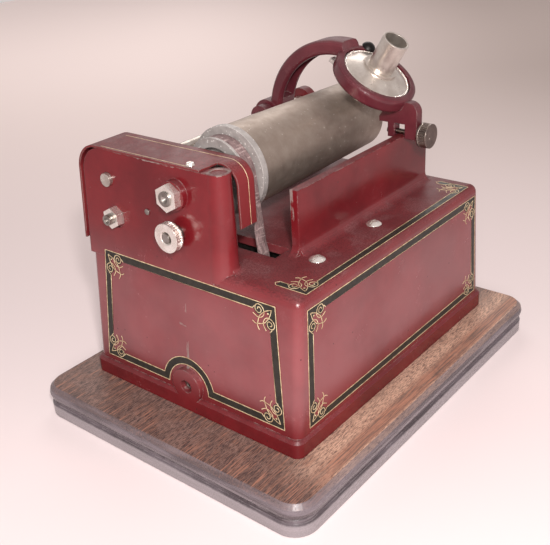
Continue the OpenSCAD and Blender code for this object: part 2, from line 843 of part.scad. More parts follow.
// Round nut with a grooved edge that is turned by hand
module knurled(r, h, n, bore) {
    difference() {
        cylinder(r = r, h = h);
        for (i = [0 : n - 1]) rotate(i * 360 / n)
            translate([r, 0, 0.8]) rotate(45) translate([-0.45, -0.45, 0]) cube([0.9, 0.9, h - 1.6]);
        if (bore > 0) translate([0, 0, -1]) cylinder(r = bore, h = h + 2);
    }
}

module change_thumb_nut() {
    color([0.7, 0.67, 0.6]) in_case() along_x(thumb_x1 - thumb_t, thumb_axis) difference() {
        knurled(thumb_r, thumb_t, 36, thumb_stud_r + run);
        translate([0, 0, -0.01]) cylinder(r1 = thumb_stud_r + 1.2, r2 = thumb_stud_r, h = 1.2);
    }
}

// Mandrel and its drive

module mandrel() {
    w = mandrel_wall;
    color([0.73, 0.69, 0.62]) in_case() along_x(mandrel_x, mandrel_axis) difference() {
        cylinder(r1 = mandrel_r1, r2 = mandrel_r2, h = mandrel_l);
        difference() {
            translate([0, 0, web_t])
                cylinder(r1 = mandrel_r1 - w, r2 = mandrel_r2 - w, h = mandrel_l);
            translate([0, 0, far_web_x - mandrel_x]) cylinder(r = mandrel_r1, h = web_t);
        }
        translate([0, 0, -1]) cylinder(r = shaft_r + snug, h = mandrel_l + 2);
    }
}

module mandrel_pulley() {
    color([0.5, 0.49, 0.47]) in_case() difference() {
        union() {
            rod_x(pulley_x, mandrel_axis, pulley_r + flange_h, flange_t);
            rod_x(belt_x, mandrel_axis, pulley_r, seat_w);
            rod_x(rim_x, mandrel_axis, rim_r, rim_w);
        }
        rod_x(pulley_x - 1, mandrel_axis, shaft_r + snug, mandrel_x - pulley_x + 2);
        difference() {
            rod_x(pulley_x - 1, mandrel_axis, pulley_r - 3, 5);
            rod_x(pulley_x - 2, mandrel_axis, shaft_r + 4, 8);
        }
    }
}

module mandrel_shaft() {
    color([0.62, 0.6, 0.56]) in_case() difference() {
        rod_x(shaft_x0, mandrel_axis, shaft_r, shaft_x1 - shaft_x0);
        rod_x(shaft_x0 - 1, mandrel_axis, pivot_r + run, pivot_len + 2);
    }
}

module mandrel_gear() {
    color([0.68, 0.55, 0.3]) in_case()
        gear_x(gear_x, mandrel_axis, feed_teeth, feed_mod, feed_gear_w, 0, shaft_r + snug);
}

module idler_gear() {
    color([0.68, 0.55, 0.3]) in_case()
        gear_x(gear_x, idler_axis, feed_teeth, feed_mod, feed_gear_w, idler_tooth, axle_r + run);
}

module feed_gear() {
    color([0.68, 0.55, 0.3]) in_case()
        gear_x(gear_x, feed_axis, feed_teeth, feed_mod, feed_gear_w, feed_tooth, feed_r + snug);
}

module feed_screw() {
    color([0.64, 0.62, 0.57]) in_case() difference() {
        rod_x(feed_x0, feed_axis, feed_r, feed_x1 - feed_x0);
        rod_x(feed_x0 - 1, feed_axis, pivot_r + run, pivot_len + 2);
        rod_x(feed_x1 - pivot_len - 1, feed_axis, pivot_r + run, pivot_len + 2);
    }
}

// Flat belt round both pulleys, with a lapped joint on its front run

belt_mid = belt_x + (seat_w - belt_w) / 2;

module belt_loop(extra, x, w) {
    hull() {
        along_x(x, mandrel_axis) cylinder(r = pulley_r + clear + extra, h = w, $fn = 96);
        along_x(x, drive) cylinder(r = drive_pulley_r + clear + extra, h = w, $fn = 96);
    }
}

lap_l = 34;
lap_t = 1.2;
lap_from = 14;

module drive_belt() {
    run_d = mandrel_axis - drive;
    rise = norm(run_d);
    lean = atan2(run_d[1], run_d[0]) + acos((drive_pulley_r - pulley_r) / rise);
    foot = drive + (drive_pulley_r + clear + belt_t) * [cos(lean), sin(lean)];
    color([0.36, 0.29, 0.29]) in_case() {
        difference() {
            belt_loop(belt_t, belt_mid, belt_w);
            belt_loop(0, belt_mid - 1, belt_w + 2);
        }
        along_x(belt_mid, foot) rotate(lean - 90)
            translate([lap_from, -0.2, 0]) cube([lap_l, lap_t + 0.2, belt_w]);
    }
}

// Carriage

module carriage_sleeve() {
    x0 = arm_x - sleeve_left;
    color([0.38, 0.06, 0.09]) in_case() difference() {
        union() {
            rod_x(x0, rod_axis, sleeve_r, sleeve_left - clear);
            rod_x(x0, rod_axis, hub_ri, sleeve_left + arm_w + collar_t);
            rod_x(arm_x + arm_w + clear, rod_axis, sleeve_r, collar_t - clear);
        }
        rod_x(x0 - 1, rod_axis, rod_r + run, sleeve_left + arm_w + collar_t + 2);
    }
}

// Frame at the reproducer: local Z along its axis, origin at the ring's middle
module at_reproducer() {
    translate([carriage_mid, rep_y, rep_z]) rotate([rep_lean, 0, 0]) children();
}

// Corner of a bar's section, rounded in three steps
function corner(at, e, a0) = [for (k = [0 : 3]) at + polar(e, a0 + 30 * k)];

// Section of a rounded bar between two radii
function bar_section(ri, ro, w, e) = concat(
    corner([ri + e, e - w / 2], e, 180), corner([ro - e, e - w / 2], e, 270),
    corner([ro - e, w / 2 - e], e, 0), corner([ri + e, w / 2 - e], e, 90));

module arch_bar(a0, a1, ri, ro, w, e) {
    along_x(carriage_mid, mandrel_axis) rotate(a0) rotate_extrude(angle = a1 - a0)
        polygon(bar_section(ri, ro, w, e));
}

module arch() {
    difference() {
        arch_bar(-2, arch_end, arch_ri, arch_ro, arm_w - 2 * arch_inset, arm_round);
        // Hollow between two side ribs on the inner face
        arch_bar(14, arch_end - 34, arch_ri - arch_rib, arch_ro - arch_rib, arm_w - 2 * arch_rib, 1);
    }
}

module arm_ring() {
    at_reproducer() translate([0, 0, -ring_drop]) rotate_extrude()
        polygon(bar_section(ring_ri - 4, ring_ro, ring_h, ring_round));
}

module front_fork() {
    z0 = lift_z - lift_r - 1.6;
    x = carriage_mid - fork_w / 2;
    y0 = plate_y - fork_gap - fork_front;
    y1 = plate_y + plate_t + fork_gap;
    bridge = lift_z + lift_r + fork_roof;
    translate([x, y0, z0]) cube([fork_w, fork_front, bridge + 3 - z0]);
    translate([x, y1, z0]) cube([fork_w, fork_back, bridge + 3 - z0]);
    hull() {
        rod_x(x, [y0 + shoulder_r, bridge + fork_bridge - shoulder_r], shoulder_r, fork_w);
        translate([x, y0, bridge]) cube([fork_w, 1, 1]);
        translate([x, y1 + fork_back + fork_tail - 1, bridge]) cube([fork_w, 1, fork_bridge]);
    }
}

module carriage_arm() {
    color([0.41, 0.06, 0.09]) in_case() difference() {
        union() {
            arch();
            rod_x(arm_x, rod_axis, hub_ro, arm_w);
            arm_ring();
            front_fork();
        }
        rod_x(arm_x - 1, rod_axis, hub_ri + run, arm_w + 2);
        at_reproducer() translate([0, 0, -30]) cylinder(r = weight_r + weight_room, h = 30);
        at_reproducer() translate([0, 0, -ring_h]) cylinder(r = rep_seat_r + snug, h = 60);
        at_reproducer() translate([0, 0, rep_seat_z]) cylinder(r = ring_ri, h = 30);
        // The arch slopes down to the ring's edge
        at_reproducer() translate([0, 0, ring_h / 2 - ring_drop + 0.05])
            cylinder(r1 = ring_ri + 1.5, r2 = ring_ri + 16, h = 12);
        translate([carriage_mid, 0, lift_z]) rotate([-90, 0, 0]) cylinder(r = lift_r + run, h = case_w / 2);
        clamp_place() translate([0, 0, -6.5]) cylinder(r = 1.7 + snug, h = 20);
        for (y = feed_screw_y) translate([carriage_mid, y, spring_z - 1])
            cylinder(r = 1.2 + snug, h = 4);
        hub_flat();
    }
}

// Flat under the hub for the spring of the feed nut
spring_t = 0.8;
spring_w = 10;
spring_z = rod_z - hub_ro + 1;
feed_screw_y = [rod_y];

module hub_flat() {
    translate([arm_x - 1, rod_y - hub_ro, spring_z - 12]) cube([arm_w + 2, 2 * hub_ro, 12]);
}

module feed_nut_spring() {
    y0 = feed_y - 3;
    color([0.7, 0.68, 0.62]) in_case() difference() {
        translate([carriage_mid - spring_w / 2, y0, spring_z - spring_t])
            cube([spring_w, rod_y + 4 - y0, spring_t]);
        for (y = feed_screw_y) translate([carriage_mid, y, spring_z - 5])
            cylinder(r = 1.2 + snug, h = 10);
    }
}

module feed_nut_screws() {
    color([0.72, 0.7, 0.64]) in_case() for (y = feed_screw_y)
        translate([carriage_mid, y, spring_z - spring_t]) {
            translate([0, 0, -1.2]) cylinder(r1 = 1.8, r2 = 2.2, h = 1.2);
            cylinder(r = 1.2, h = 3.4);
        }
}

module feed_nut() {
    z0 = feed_z + feed_r + nut_gap;
    color([0.66, 0.53, 0.3]) in_case() translate([carriage_mid - spring_w / 2, feed_y - 2.5, z0])
        cube([spring_w, 4.5, spring_z - spring_t - z0]);
}

module lift_screw() {
    color([0.72, 0.69, 0.62]) in_case() translate([carriage_mid, lift_y0, lift_z]) rotate([-90, 0, 0]) {
        knurled(lift_knob_r, lift_knob_t, 34, 0);
        cylinder(r = lift_r * 2, h = lift_knob_t + 1.6);
        cylinder(r = lift_r, h = lift_y1 - lift_y0 + 1.5);
    }
}

clamp_a = 52;

module clamp_place() {
    at_reproducer() rotate(clamp_a) translate([(ring_ri + ring_ro) / 2, 0, ring_h / 2 - ring_drop]) children();
}

module clamp_screw() {
    color([0.12, 0.11, 0.11]) in_case() clamp_place() {
        intersection() {
            translate([0, 0, -1.5]) sphere(r = 4.6);
            cylinder(r = 4.4, h = 4);
        }
        translate([0, 0, -6]) cylinder(r = 1.7, h = 7);
    }
}

// Reproducer

rep_seat_r = rep_r - 2;
rep_seat_z = -3;
rim_t = 3;
gasket_t = 1;
gasket_r = rep_seat_r - 1.6;
diaphragm_t = 0.6;

module reproducer_cover() {
    z0 = rep_seat_z + rim_t;
    color([0.76, 0.74, 0.68]) in_case() at_reproducer() difference() {
        union() {
            translate([0, 0, z0]) cylinder(r = rep_r, h = 1.4);
            translate([0, 0, z0 + 1.4]) cylinder(r1 = rep_r - 1.2, r2 = neck_r + 3, h = 3.6);
            translate([0, 0, z0 + 4.5]) cylinder(r = neck_r + 2.4, h = 2.2);
            translate([0, 0, z0 + 1]) cylinder(r = neck_r, h = neck_h - z0 - 1);
        }
        translate([0, 0, z0 - 1]) cylinder(r = neck_r - neck_wall, h = neck_h + 5);
        translate([0, 0, z0 - 1]) cylinder(r = gasket_r, h = 1.9);
    }
}

body_z0 = rep_seat_z - 4.5;

module reproducer_body() {
    color([0.7, 0.68, 0.62]) in_case() at_reproducer() difference() {
        union() {
            translate([0, 0, rep_seat_z]) cylinder(r = rep_r, h = rim_t);
            translate([0, 0, body_z0]) cylinder(r = rep_seat_r, h = rim_t + 4.5);
            hinge_ears();
        }
        translate([0, 0, floor_z]) cylinder(r = gasket_r + 0.4, h = 20);
        translate([0, 0, body_z0 - 1]) cylinder(r = gasket_r - 3, h = 20);
        hinge_hole();
    }
}

floor_z = rep_seat_z + rim_t + 0.9 - 2 * gasket_t - diaphragm_t;

module ring_disc(z, ri, ro, h) {
    in_case() at_reproducer() translate([0, 0, z]) difference() {
        cylinder(r = ro, h = h);
        if (ri > 0) translate([0, 0, -1]) cylinder(r = ri, h = h + 2);
    }
}

module diaphragm() {
    color([0.8, 0.75, 0.62]) ring_disc(floor_z + gasket_t, 0, gasket_r - 0.2, diaphragm_t);
}

module gaskets() {
    color([0.25, 0.23, 0.2]) {
        ring_disc(floor_z, gasket_r - 3, gasket_r - 0.2, gasket_t);
        ring_disc(floor_z + gasket_t + diaphragm_t, gasket_r - 3, gasket_r - 0.2, gasket_t);
    }
}

// Weight that floats on a hinge at the back of the body and carries the stylus

hinge_y = rep_seat_r - 3;
hinge_z = body_z0 - 1.4;
hinge_r = 1;
weight_t = 2.6;
weight_z1 = hinge_z - 0.5;
weight_r = 14.5;
tail_l = 20;
tail_w = 5;
ear_w = 2.5;
ear_gap = 6;
swing_room = 0.3;
stylus_y = 8;
bar_t = 1.2;
bar_l = 14;
link_r = 0.4;
eye_play = 0.5;
eye_r = 1.7;

module hinge_hole() {
    translate([-20, hinge_y, hinge_z]) rotate([0, 90, 0]) cylinder(r = hinge_r + snug, h = 40);
}

module hinge_ears() {
    for (x = [-ear_gap / 2 - ear_w, ear_gap / 2])
        translate([x, hinge_y - 1.8, hinge_z - 1.8]) cube([ear_w, 3.4, body_z0 - hinge_z + 1.8]);
}

module weight_hinge_pin() {
    color([0.6, 0.58, 0.52]) in_case() at_reproducer()
        translate([-ear_gap / 2 - ear_w, hinge_y, hinge_z]) rotate([0, 90, 0])
            cylinder(r = hinge_r, h = ear_gap + 2 * ear_w);
}

module floating_weight() {
    color([0.78, 0.76, 0.7]) in_case() at_reproducer() difference() {
        union() {
            intersection() {
                translate([0, 0, hinge_z - weight_t - 1]) cylinder(r = weight_r, h = weight_t);
                translate([-weight_r, -weight_r, hinge_z - 10])
                    cube([2 * weight_r, weight_r + hinge_y - 3.4, 20]);
            }
            translate([-tail_w / 2, hinge_y - 6, hinge_z - weight_t - 1])
                cube([tail_w, tail_l, weight_t]);
            translate([-ear_gap / 2 + clear, hinge_y - 1.8, hinge_z - 3])
                cube([ear_gap - 2 * clear, 3.2, 4]);
        }
        translate([-10, hinge_y, hinge_z]) rotate([0, 90, 0]) cylinder(r = hinge_r + run, h = 20);
        translate([-2.2, -2, hinge_z - 12]) cube([4.4, stylus_y + 2, 11]);
    }
}

// Bar under the weight with the stylus below and an eye above
module stylus_bar() {
    z = hinge_z - weight_t - 1;
    color([0.62, 0.6, 0.55]) in_case() at_reproducer() {
        translate([-bar_l / 2, stylus_y - 0.5, z - bar_t]) cube([bar_l, 3, bar_t]);
        difference() {
            union() {
                translate([-1, 0, z - bar_t]) cube([2, stylus_y + 1, bar_t]);
                translate([0, 0, z - bar_t]) cylinder(r = eye_r, h = bar_t);
            }
            translate([0, 0, z - bar_t - 1]) cylinder(r = link_r + eye_play, h = bar_t + 2);
        }
        translate([0, stylus_y + 1, z - bar_t - 2]) cylinder(r1 = 0.3, r2 = 0.8, h = 2.2);
    }
}

// Fine wire from the bar's eye to the diaphragm
module diaphragm_link() {
    z = hinge_z - weight_t - 1;
    color([0.6, 0.58, 0.52]) in_case() at_reproducer()
        translate([0, 0, z - bar_t - 0.7]) cylinder(r = link_r, h = floor_z + gasket_t - z + bar_t + 0.7);
}

// Motor

module motor_plate(x, bores) {
    difference() {
        translate([x, plate_y0, plate_z0])
            cube([motor_plate_t, plate_y1 - plate_y0, hanger_z0 + hanger_s - 2 - plate_z0]);
        for (b = bores) rod_x(x - 1, b[0], b[1], motor_plate_t + 2);
        for (p = pillars) rod_x(x - 1, p, pillar_tip + snug, motor_plate_t + 2);
    }
}

module motor_plate_left() {
    color([0.55, 0.53, 0.5]) in_case() motor_plate(motor_x,
        [[drive, axle_r + run], [second, journal_r + run], [gov, journal_r + run],
         [barrel, journal_r + 1 + run], [wind, wind_r + run]]);
}

lever_room = 9;

module motor_plate_right() {
    color([0.55, 0.53, 0.5]) in_case() difference() {
        union() {
            motor_plate(motor_out,
                [[drive, journal_r + run], [second, journal_r + run], [gov, journal_r + run],
                 [barrel, journal_r + 1 + run]]);
            // Shelf and stud of the brake lever
            translate([motor_out, lever_y - shelf_w / 2, lever_z - shelf_t - clear])
                cube([lever_x + shelf_w / 2 - motor_out, shelf_w, shelf_t]);
            translate([lever_x, lever_y, lever_z - 2]) cylinder(r = lever_pivot_r, h = lever_t + 3);
            translate([lever_x, lever_y, lever_z + lever_t + clear])
                cylinder(r = lever_pivot_r + collar_w, h = collar_h);
        }
        translate([motor_out - 1, lever_y - lever_w / 2 - 5, lever_z - clear])
            cube([motor_plate_t + 2, lever_w + 8, lever_t + 2 * clear]);
    }
}

module motor_pillars() {
    color([0.6, 0.58, 0.54]) in_case() for (p = pillars) {
        rod_x(motor_in, p, pillar_r, motor_gap);
        rod_x(motor_x - pillar_nut_t - 0.5, p, pillar_tip, motor_x1 - motor_x + 2 * pillar_nut_t + 1);
    }
}

module pillar_nuts() {
    places = [motor_x - pillar_nut_t, motor_x1];
    color([0.6, 0.58, 0.54]) in_case() for (p = pillars, x = places) difference() {
        hex_x(x, p, pillar_nut_af, pillar_nut_t);
        rod_x(x - 1, p, pillar_tip + snug, pillar_nut_t + 2);
    }
}

// Lugs that hang the motor plates under the bed
module motor_hangers() {
    h = hanger_s / 2;
    color([0.4, 0.39, 0.38]) in_case() for (y = [screw_y0, screw_y1]) {
        difference() {
            translate([screw_x0 - h, y - h, hanger_z0]) cube([motor_x - screw_x0 + h, hanger_s, hanger_s]);
            translate([screw_x0, y, hanger_z0 - 1]) cylinder(r = screw_r + snug, h = hanger_s + 2);
        }
        difference() {
            translate([screw_x1 - h, y - h, hanger_z0])
                cube([motor_out - screw_x1 + h, hanger_s, hanger_s]);
            translate([screw_x1, y, hanger_z0 - 1]) cylinder(r = screw_r + snug, h = hanger_s + 2);
        }
    }
}

module motor_screws() {
    color([0.75, 0.73, 0.67]) in_case() for (x = [screw_x0, screw_x1], y = [screw_y0, screw_y1])
        translate([x, y, case_h]) difference() {
            union() {
                translate([0, 0, -14]) cylinder(r = screw_r, h = 14.5);
                intersection() {
                    translate([0, 0, -4]) sphere(r = 6.1);
                    cylinder(r = head_r, h = 5);
                }
            }
            translate([-head_r, -slot_cut / 2, 1]) cube([2 * head_r, slot_cut, 3]);
        }
}

module drive_shaft() {
    color([0.6, 0.58, 0.54]) in_case() {
        rod_x(belt_x - 3, drive, axle_r, motor_out - belt_x + 2.7);
        rod_x(motor_out - 1, drive, journal_r, motor_plate_t + 2);
        gear_solid(second_x, drive, pinion_teeth, mod_fine, fine_t, 0);
    }
}

// Gear cut on its shaft
module gear_solid(x, yz, n, m, w, a) {
    along_x(x, yz) linear_extrude(w) polygon(gear_points(n, m, a));
}

module drive_pulley() {
    color([0.62, 0.52, 0.32]) in_case() difference() {
        union() {
            rod_x(belt_x, drive, drive_pulley_r, seat_w);
            for (x = [belt_x - flange_t, belt_x + seat_w])
                rod_x(x, drive, drive_pulley_r + flange_h, flange_t);
        }
        rod_x(belt_x - 5, drive, axle_r + snug, seat_w + 10);
    }
}

module governor_wheel() {
    color([0.68, 0.55, 0.3]) in_case()
        gear_x(gov_wheel_x, drive, gov_wheel_teeth, mod_fine, fine_t, 0, axle_r + snug);
}

module second_shaft() {
    color([0.6, 0.58, 0.54]) in_case() {
        rod_x(motor_in + clear, second, axle_r, motor_gap - 2 * clear);
        rod_x(motor_x - 1, second, journal_r, motor_x1 - motor_x + 2);
        gear_solid(great_x, second, pinion_teeth, great_mod, wheel_t, 0);
    }
}

module second_wheel() {
    color([0.68, 0.55, 0.3]) in_case()
        gear_x(second_x, second, second_teeth, mod_fine, fine_t, second_tooth, axle_r + snug);
}

barrel_wall = 1.5;

module spring_barrel() {
    color([0.66, 0.57, 0.36]) in_case() difference() {
        rod_x(barrel_x + 1.5, barrel, barrel_r, barrel_l - 1.5);
        rod_x(barrel_x - 1, barrel, barrel_r - barrel_wall, barrel_l - 1);
        rod_x(barrel_x - 1, barrel, arbor_r + run, barrel_l + 5);
    }
}

module barrel_cover() {
    color([0.64, 0.55, 0.34]) in_case() difference() {
        rod_x(barrel_x, barrel, barrel_r, 1.5);
        rod_x(barrel_x - 1, barrel, arbor_r + run, 4);
    }
}

module great_wheel() {
    color([0.68, 0.55, 0.3]) in_case()
        gear_x(great_x, barrel, great_teeth, great_mod, wheel_t, great_tooth, arbor_r + run);
}

// Flat spring wound from the arbor to the barrel's wall
strip_t = 0.8;

module mainspring() {
    n = spring_turns * 24;
    r0 = arbor_r + clear;
    r1 = barrel_r - barrel_wall - strip_t - 0.1;
    color([0.3, 0.32, 0.36]) in_case() along_x(barrel_x + 2.5, barrel) linear_extrude(barrel_l - 6)
        polygon(concat(
            [for (i = [0 : n]) polar(r0 + (r1 - r0) * i / n, i * 15)],
            [for (i = [n : -1 : 0]) polar(r0 + (r1 - r0) * i / n + strip_t, i * 15)]));
}

// Arbor with its winding wheel and ratchet
module spring_arbor() {
    color([0.6, 0.58, 0.54]) in_case() {
        rod_x(motor_in + clear, barrel, arbor_r, motor_gap - 2 * clear);
        rod_x(motor_x - 1, barrel, journal_r + 1, motor_x1 - motor_x + 2);
        gear_solid(arbor_wheel_x, barrel, arbor_teeth, wind_mod, wheel_t, arbor_tooth);
        along_x(ratchet_x - 0.5, barrel) linear_extrude(ratchet_t + 0.5)
            polygon([for (i = [0 : 17]) each [polar(ratchet_r, i * 20), polar(ratchet_r - 2, i * 20 + 18)]]);
    }
}

// Pawl shown lifted by the tooth that passes under it
module ratchet_pawl() {
    p = barrel + polar(ratchet_r + 24, 75);
    tip = ratchet_r + clear;
    color([0.55, 0.53, 0.5]) in_case() {
        along_x(ratchet_x, barrel) rotate(75) linear_extrude(ratchet_t)
            polygon([[tip, -1], [tip + 2, 1.6], [ratchet_r + 24, 3], [ratchet_r + 24, -3], [tip + 3, -2.5]]);
        rod_x(ratchet_x, p, 3, ratchet_t);
        rod_x(motor_in, p, 1.8, ratchet_x + ratchet_t - motor_in);
    }
}

module winding_shaft() {
    color([0.6, 0.58, 0.54]) in_case() difference() {
        union() {
            rod_x(3, wind, wind_r, arbor_wheel_x - 3);
            gear_solid(arbor_wheel_x, wind, wind_teeth, wind_mod, wheel_t, 0);
        }
        rod_x(2, wind, wind_r * 0.5, 12);
    }
}

// Governor: a shaft with a fixed hub, and ball weights on leaf springs that
// pull the friction disc along as they fly out
spring_in = 5.4;
ball_out = 8.2;
gov_boss = 4;
leaf_w = 3;
leaf_t = 0.8;

module governor_shaft() {
    color([0.6, 0.58, 0.54]) in_case() {
        rod_x(motor_in + clear, gov, axle_r, motor_gap - 2 * clear);
        rod_x(motor_x - 1, gov, journal_r, motor_x1 - motor_x + 2);
        gear_solid(gov_wheel_x, gov, pinion_teeth, mod_fine, fine_t, gov_tooth);
        rod_x(gov_hub_x, gov, spring_in, gov_hub_t);
    }
}

module governor_weights() {
    color([0.66, 0.56, 0.34]) in_case() {
        difference() {
            union() {
                rod_x(gov_disc_x, gov, disc_r, gov_disc_t);
                rod_x(gov_disc_x - gov_boss, gov, spring_in, gov_boss + 1);
            }
            rod_x(gov_disc_x - gov_boss - 1, gov, axle_r + snug, gov_disc_t + gov_boss + 2);
        }
        for (a = [0, 120, 240]) along_x(gov_hub_x, gov) rotate(a) {
            translate([spring_in, -leaf_w / 2, 0]) cube([leaf_t, leaf_w, gov_disc_x - gov_hub_x]);
            translate([ball_out, 0, (gov_disc_x - gov_hub_x) / 2]) sphere(r = ball_r);
        }
    }
}

lever_x0 = gov_disc_x - 1.5;

module brake_lever() {
    color([0.5, 0.48, 0.45]) in_case() difference() {
        union() {
            translate([lever_x0, lever_y - lever_w / 2, lever_z])
                cube([case_l - slope_x * lever_z + lever_out - lever_x0, lever_w, lever_t]);
            translate([lever_x, lever_y, lever_z]) cylinder(r = lever_eye_r, h = lever_t);
        }
        translate([lever_x, lever_y, lever_z - 1]) cylinder(r = lever_pivot_r + run, h = lever_t + 2);
    }
}

module brake_pad() {
    reach = gov[0] - sqrt(disc_r * disc_r - pow(gov[1] - lever_z - lever_t, 2)) - clear;
    y0 = lever_y + lever_w / 2;
    color([0.45, 0.3, 0.2]) in_case() translate([lever_x0, y0, lever_z])
        cube([gov_disc_t + 3, reach - y0 - 0.4, lever_t]);
}

base_board();
base_screws();
case_casting();
gear_cover();
gear_cover_screw();
column_pin();
mandrel_bearing_screw();
mandrel_lock_nut();
feed_pivot_screws();
feed_lock_nuts();
back_rod();
idler_link();
idler_stud();
change_stud();
change_thumb_nut();
mandrel();
mandrel_pulley();
mandrel_shaft();
mandrel_gear();
idler_gear();
feed_screw();
feed_gear();
drive_belt();
carriage_sleeve();
carriage_arm();
feed_nut();
feed_nut_spring();
feed_nut_screws();
lift_screw();
clamp_screw();
reproducer_cover();
reproducer_body();
gaskets();
diaphragm();
diaphragm_link();
floating_weight();
weight_hinge_pin();
stylus_bar();
motor_plate_left();
motor_plate_right();
motor_pillars();
pillar_nuts();
motor_hangers();
motor_screws();
drive_shaft();
drive_pulley();
governor_wheel();
second_shaft();
second_wheel();
spring_barrel();
great_wheel();
barrel_cover();
mainspring();
spring_arbor();
ratchet_pawl();
winding_shaft();
governor_shaft();
governor_weights();
brake_lever();
brake_pad();
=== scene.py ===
"""Looks of a spring-wound cylinder phonograph: enamelled case on a moulded oak board.

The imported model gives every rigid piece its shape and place. This script dresses those
pieces, adds the painted trim, the leather belt and pad, the beading and the soft rings,
and sets up the floor, the lamps and the camera.
"""

from __future__ import annotations

import json
import logging
import math
from dataclasses import dataclass
from enum import Enum
from typing import Optional, Sequence, Union

import bmesh
import bpy
from mathutils import Matrix, Vector

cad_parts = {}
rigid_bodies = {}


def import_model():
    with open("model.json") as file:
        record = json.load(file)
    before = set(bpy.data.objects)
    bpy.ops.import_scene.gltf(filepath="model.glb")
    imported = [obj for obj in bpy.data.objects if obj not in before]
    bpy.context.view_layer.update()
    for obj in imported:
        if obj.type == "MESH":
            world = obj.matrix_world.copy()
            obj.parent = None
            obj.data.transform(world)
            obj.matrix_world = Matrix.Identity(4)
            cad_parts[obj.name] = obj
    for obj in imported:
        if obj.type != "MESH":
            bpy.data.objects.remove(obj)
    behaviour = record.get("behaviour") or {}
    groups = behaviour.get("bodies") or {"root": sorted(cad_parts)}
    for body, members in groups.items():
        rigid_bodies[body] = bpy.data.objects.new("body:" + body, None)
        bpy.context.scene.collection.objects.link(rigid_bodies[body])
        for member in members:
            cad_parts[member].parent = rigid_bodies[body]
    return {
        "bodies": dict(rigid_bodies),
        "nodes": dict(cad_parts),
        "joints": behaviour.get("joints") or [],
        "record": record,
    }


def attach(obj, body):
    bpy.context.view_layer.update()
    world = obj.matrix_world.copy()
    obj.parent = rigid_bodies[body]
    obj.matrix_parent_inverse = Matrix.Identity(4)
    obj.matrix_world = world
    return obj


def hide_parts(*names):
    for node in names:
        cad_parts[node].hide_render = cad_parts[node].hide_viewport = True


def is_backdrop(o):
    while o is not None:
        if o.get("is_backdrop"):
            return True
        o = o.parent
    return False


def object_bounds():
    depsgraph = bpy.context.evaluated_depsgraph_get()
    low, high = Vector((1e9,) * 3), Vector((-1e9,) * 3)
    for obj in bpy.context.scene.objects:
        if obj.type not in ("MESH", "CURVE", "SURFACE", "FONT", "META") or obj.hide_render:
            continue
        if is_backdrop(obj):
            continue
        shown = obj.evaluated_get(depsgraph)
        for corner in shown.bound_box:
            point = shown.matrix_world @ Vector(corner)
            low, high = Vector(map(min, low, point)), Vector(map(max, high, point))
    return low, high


LOG = logging.getLogger("phonograph")

MM = 0.001
# Front left corner of the case's foot, on top of the board
CASE_CORNER = Vector((-0.0955, -0.074, 0.019))

Colour = tuple[float, float, float, float]
Point = tuple[float, float]
Range = tuple[float, float]
Size3 = tuple[float, float, float]
Stroke = tuple[Sequence[Point], bool]
Value = Union[float, Sequence[float], bpy.types.NodeSocket]


class Effect(Enum):
    """Shader groups that several finishes share."""

    EDGE_WEAR = "Edge wear"
    SCRATCHES = "Scratches"
    GRIME = "Grime"
    SPECKS = "Specks"
    WORN_PATCH = "Worn patch"


class Body(Enum):
    """Moving groups that new pieces ride on."""

    FRAME = "frame"
    ARM = "arm"
    BRAKE = "brake"


class Slot(Enum):
    """Finishes that the record names."""

    OAK = "oak"
    ENAMEL = "enamel"
    NICKEL = "nickel"
    STEEL = "steel"
    CAST_GREY = "cast_grey"
    BRASS = "brass"
    LEATHER = "belt_leather"
    BLACK = "black_screw"
    RUBBER = "gasket_rubber"


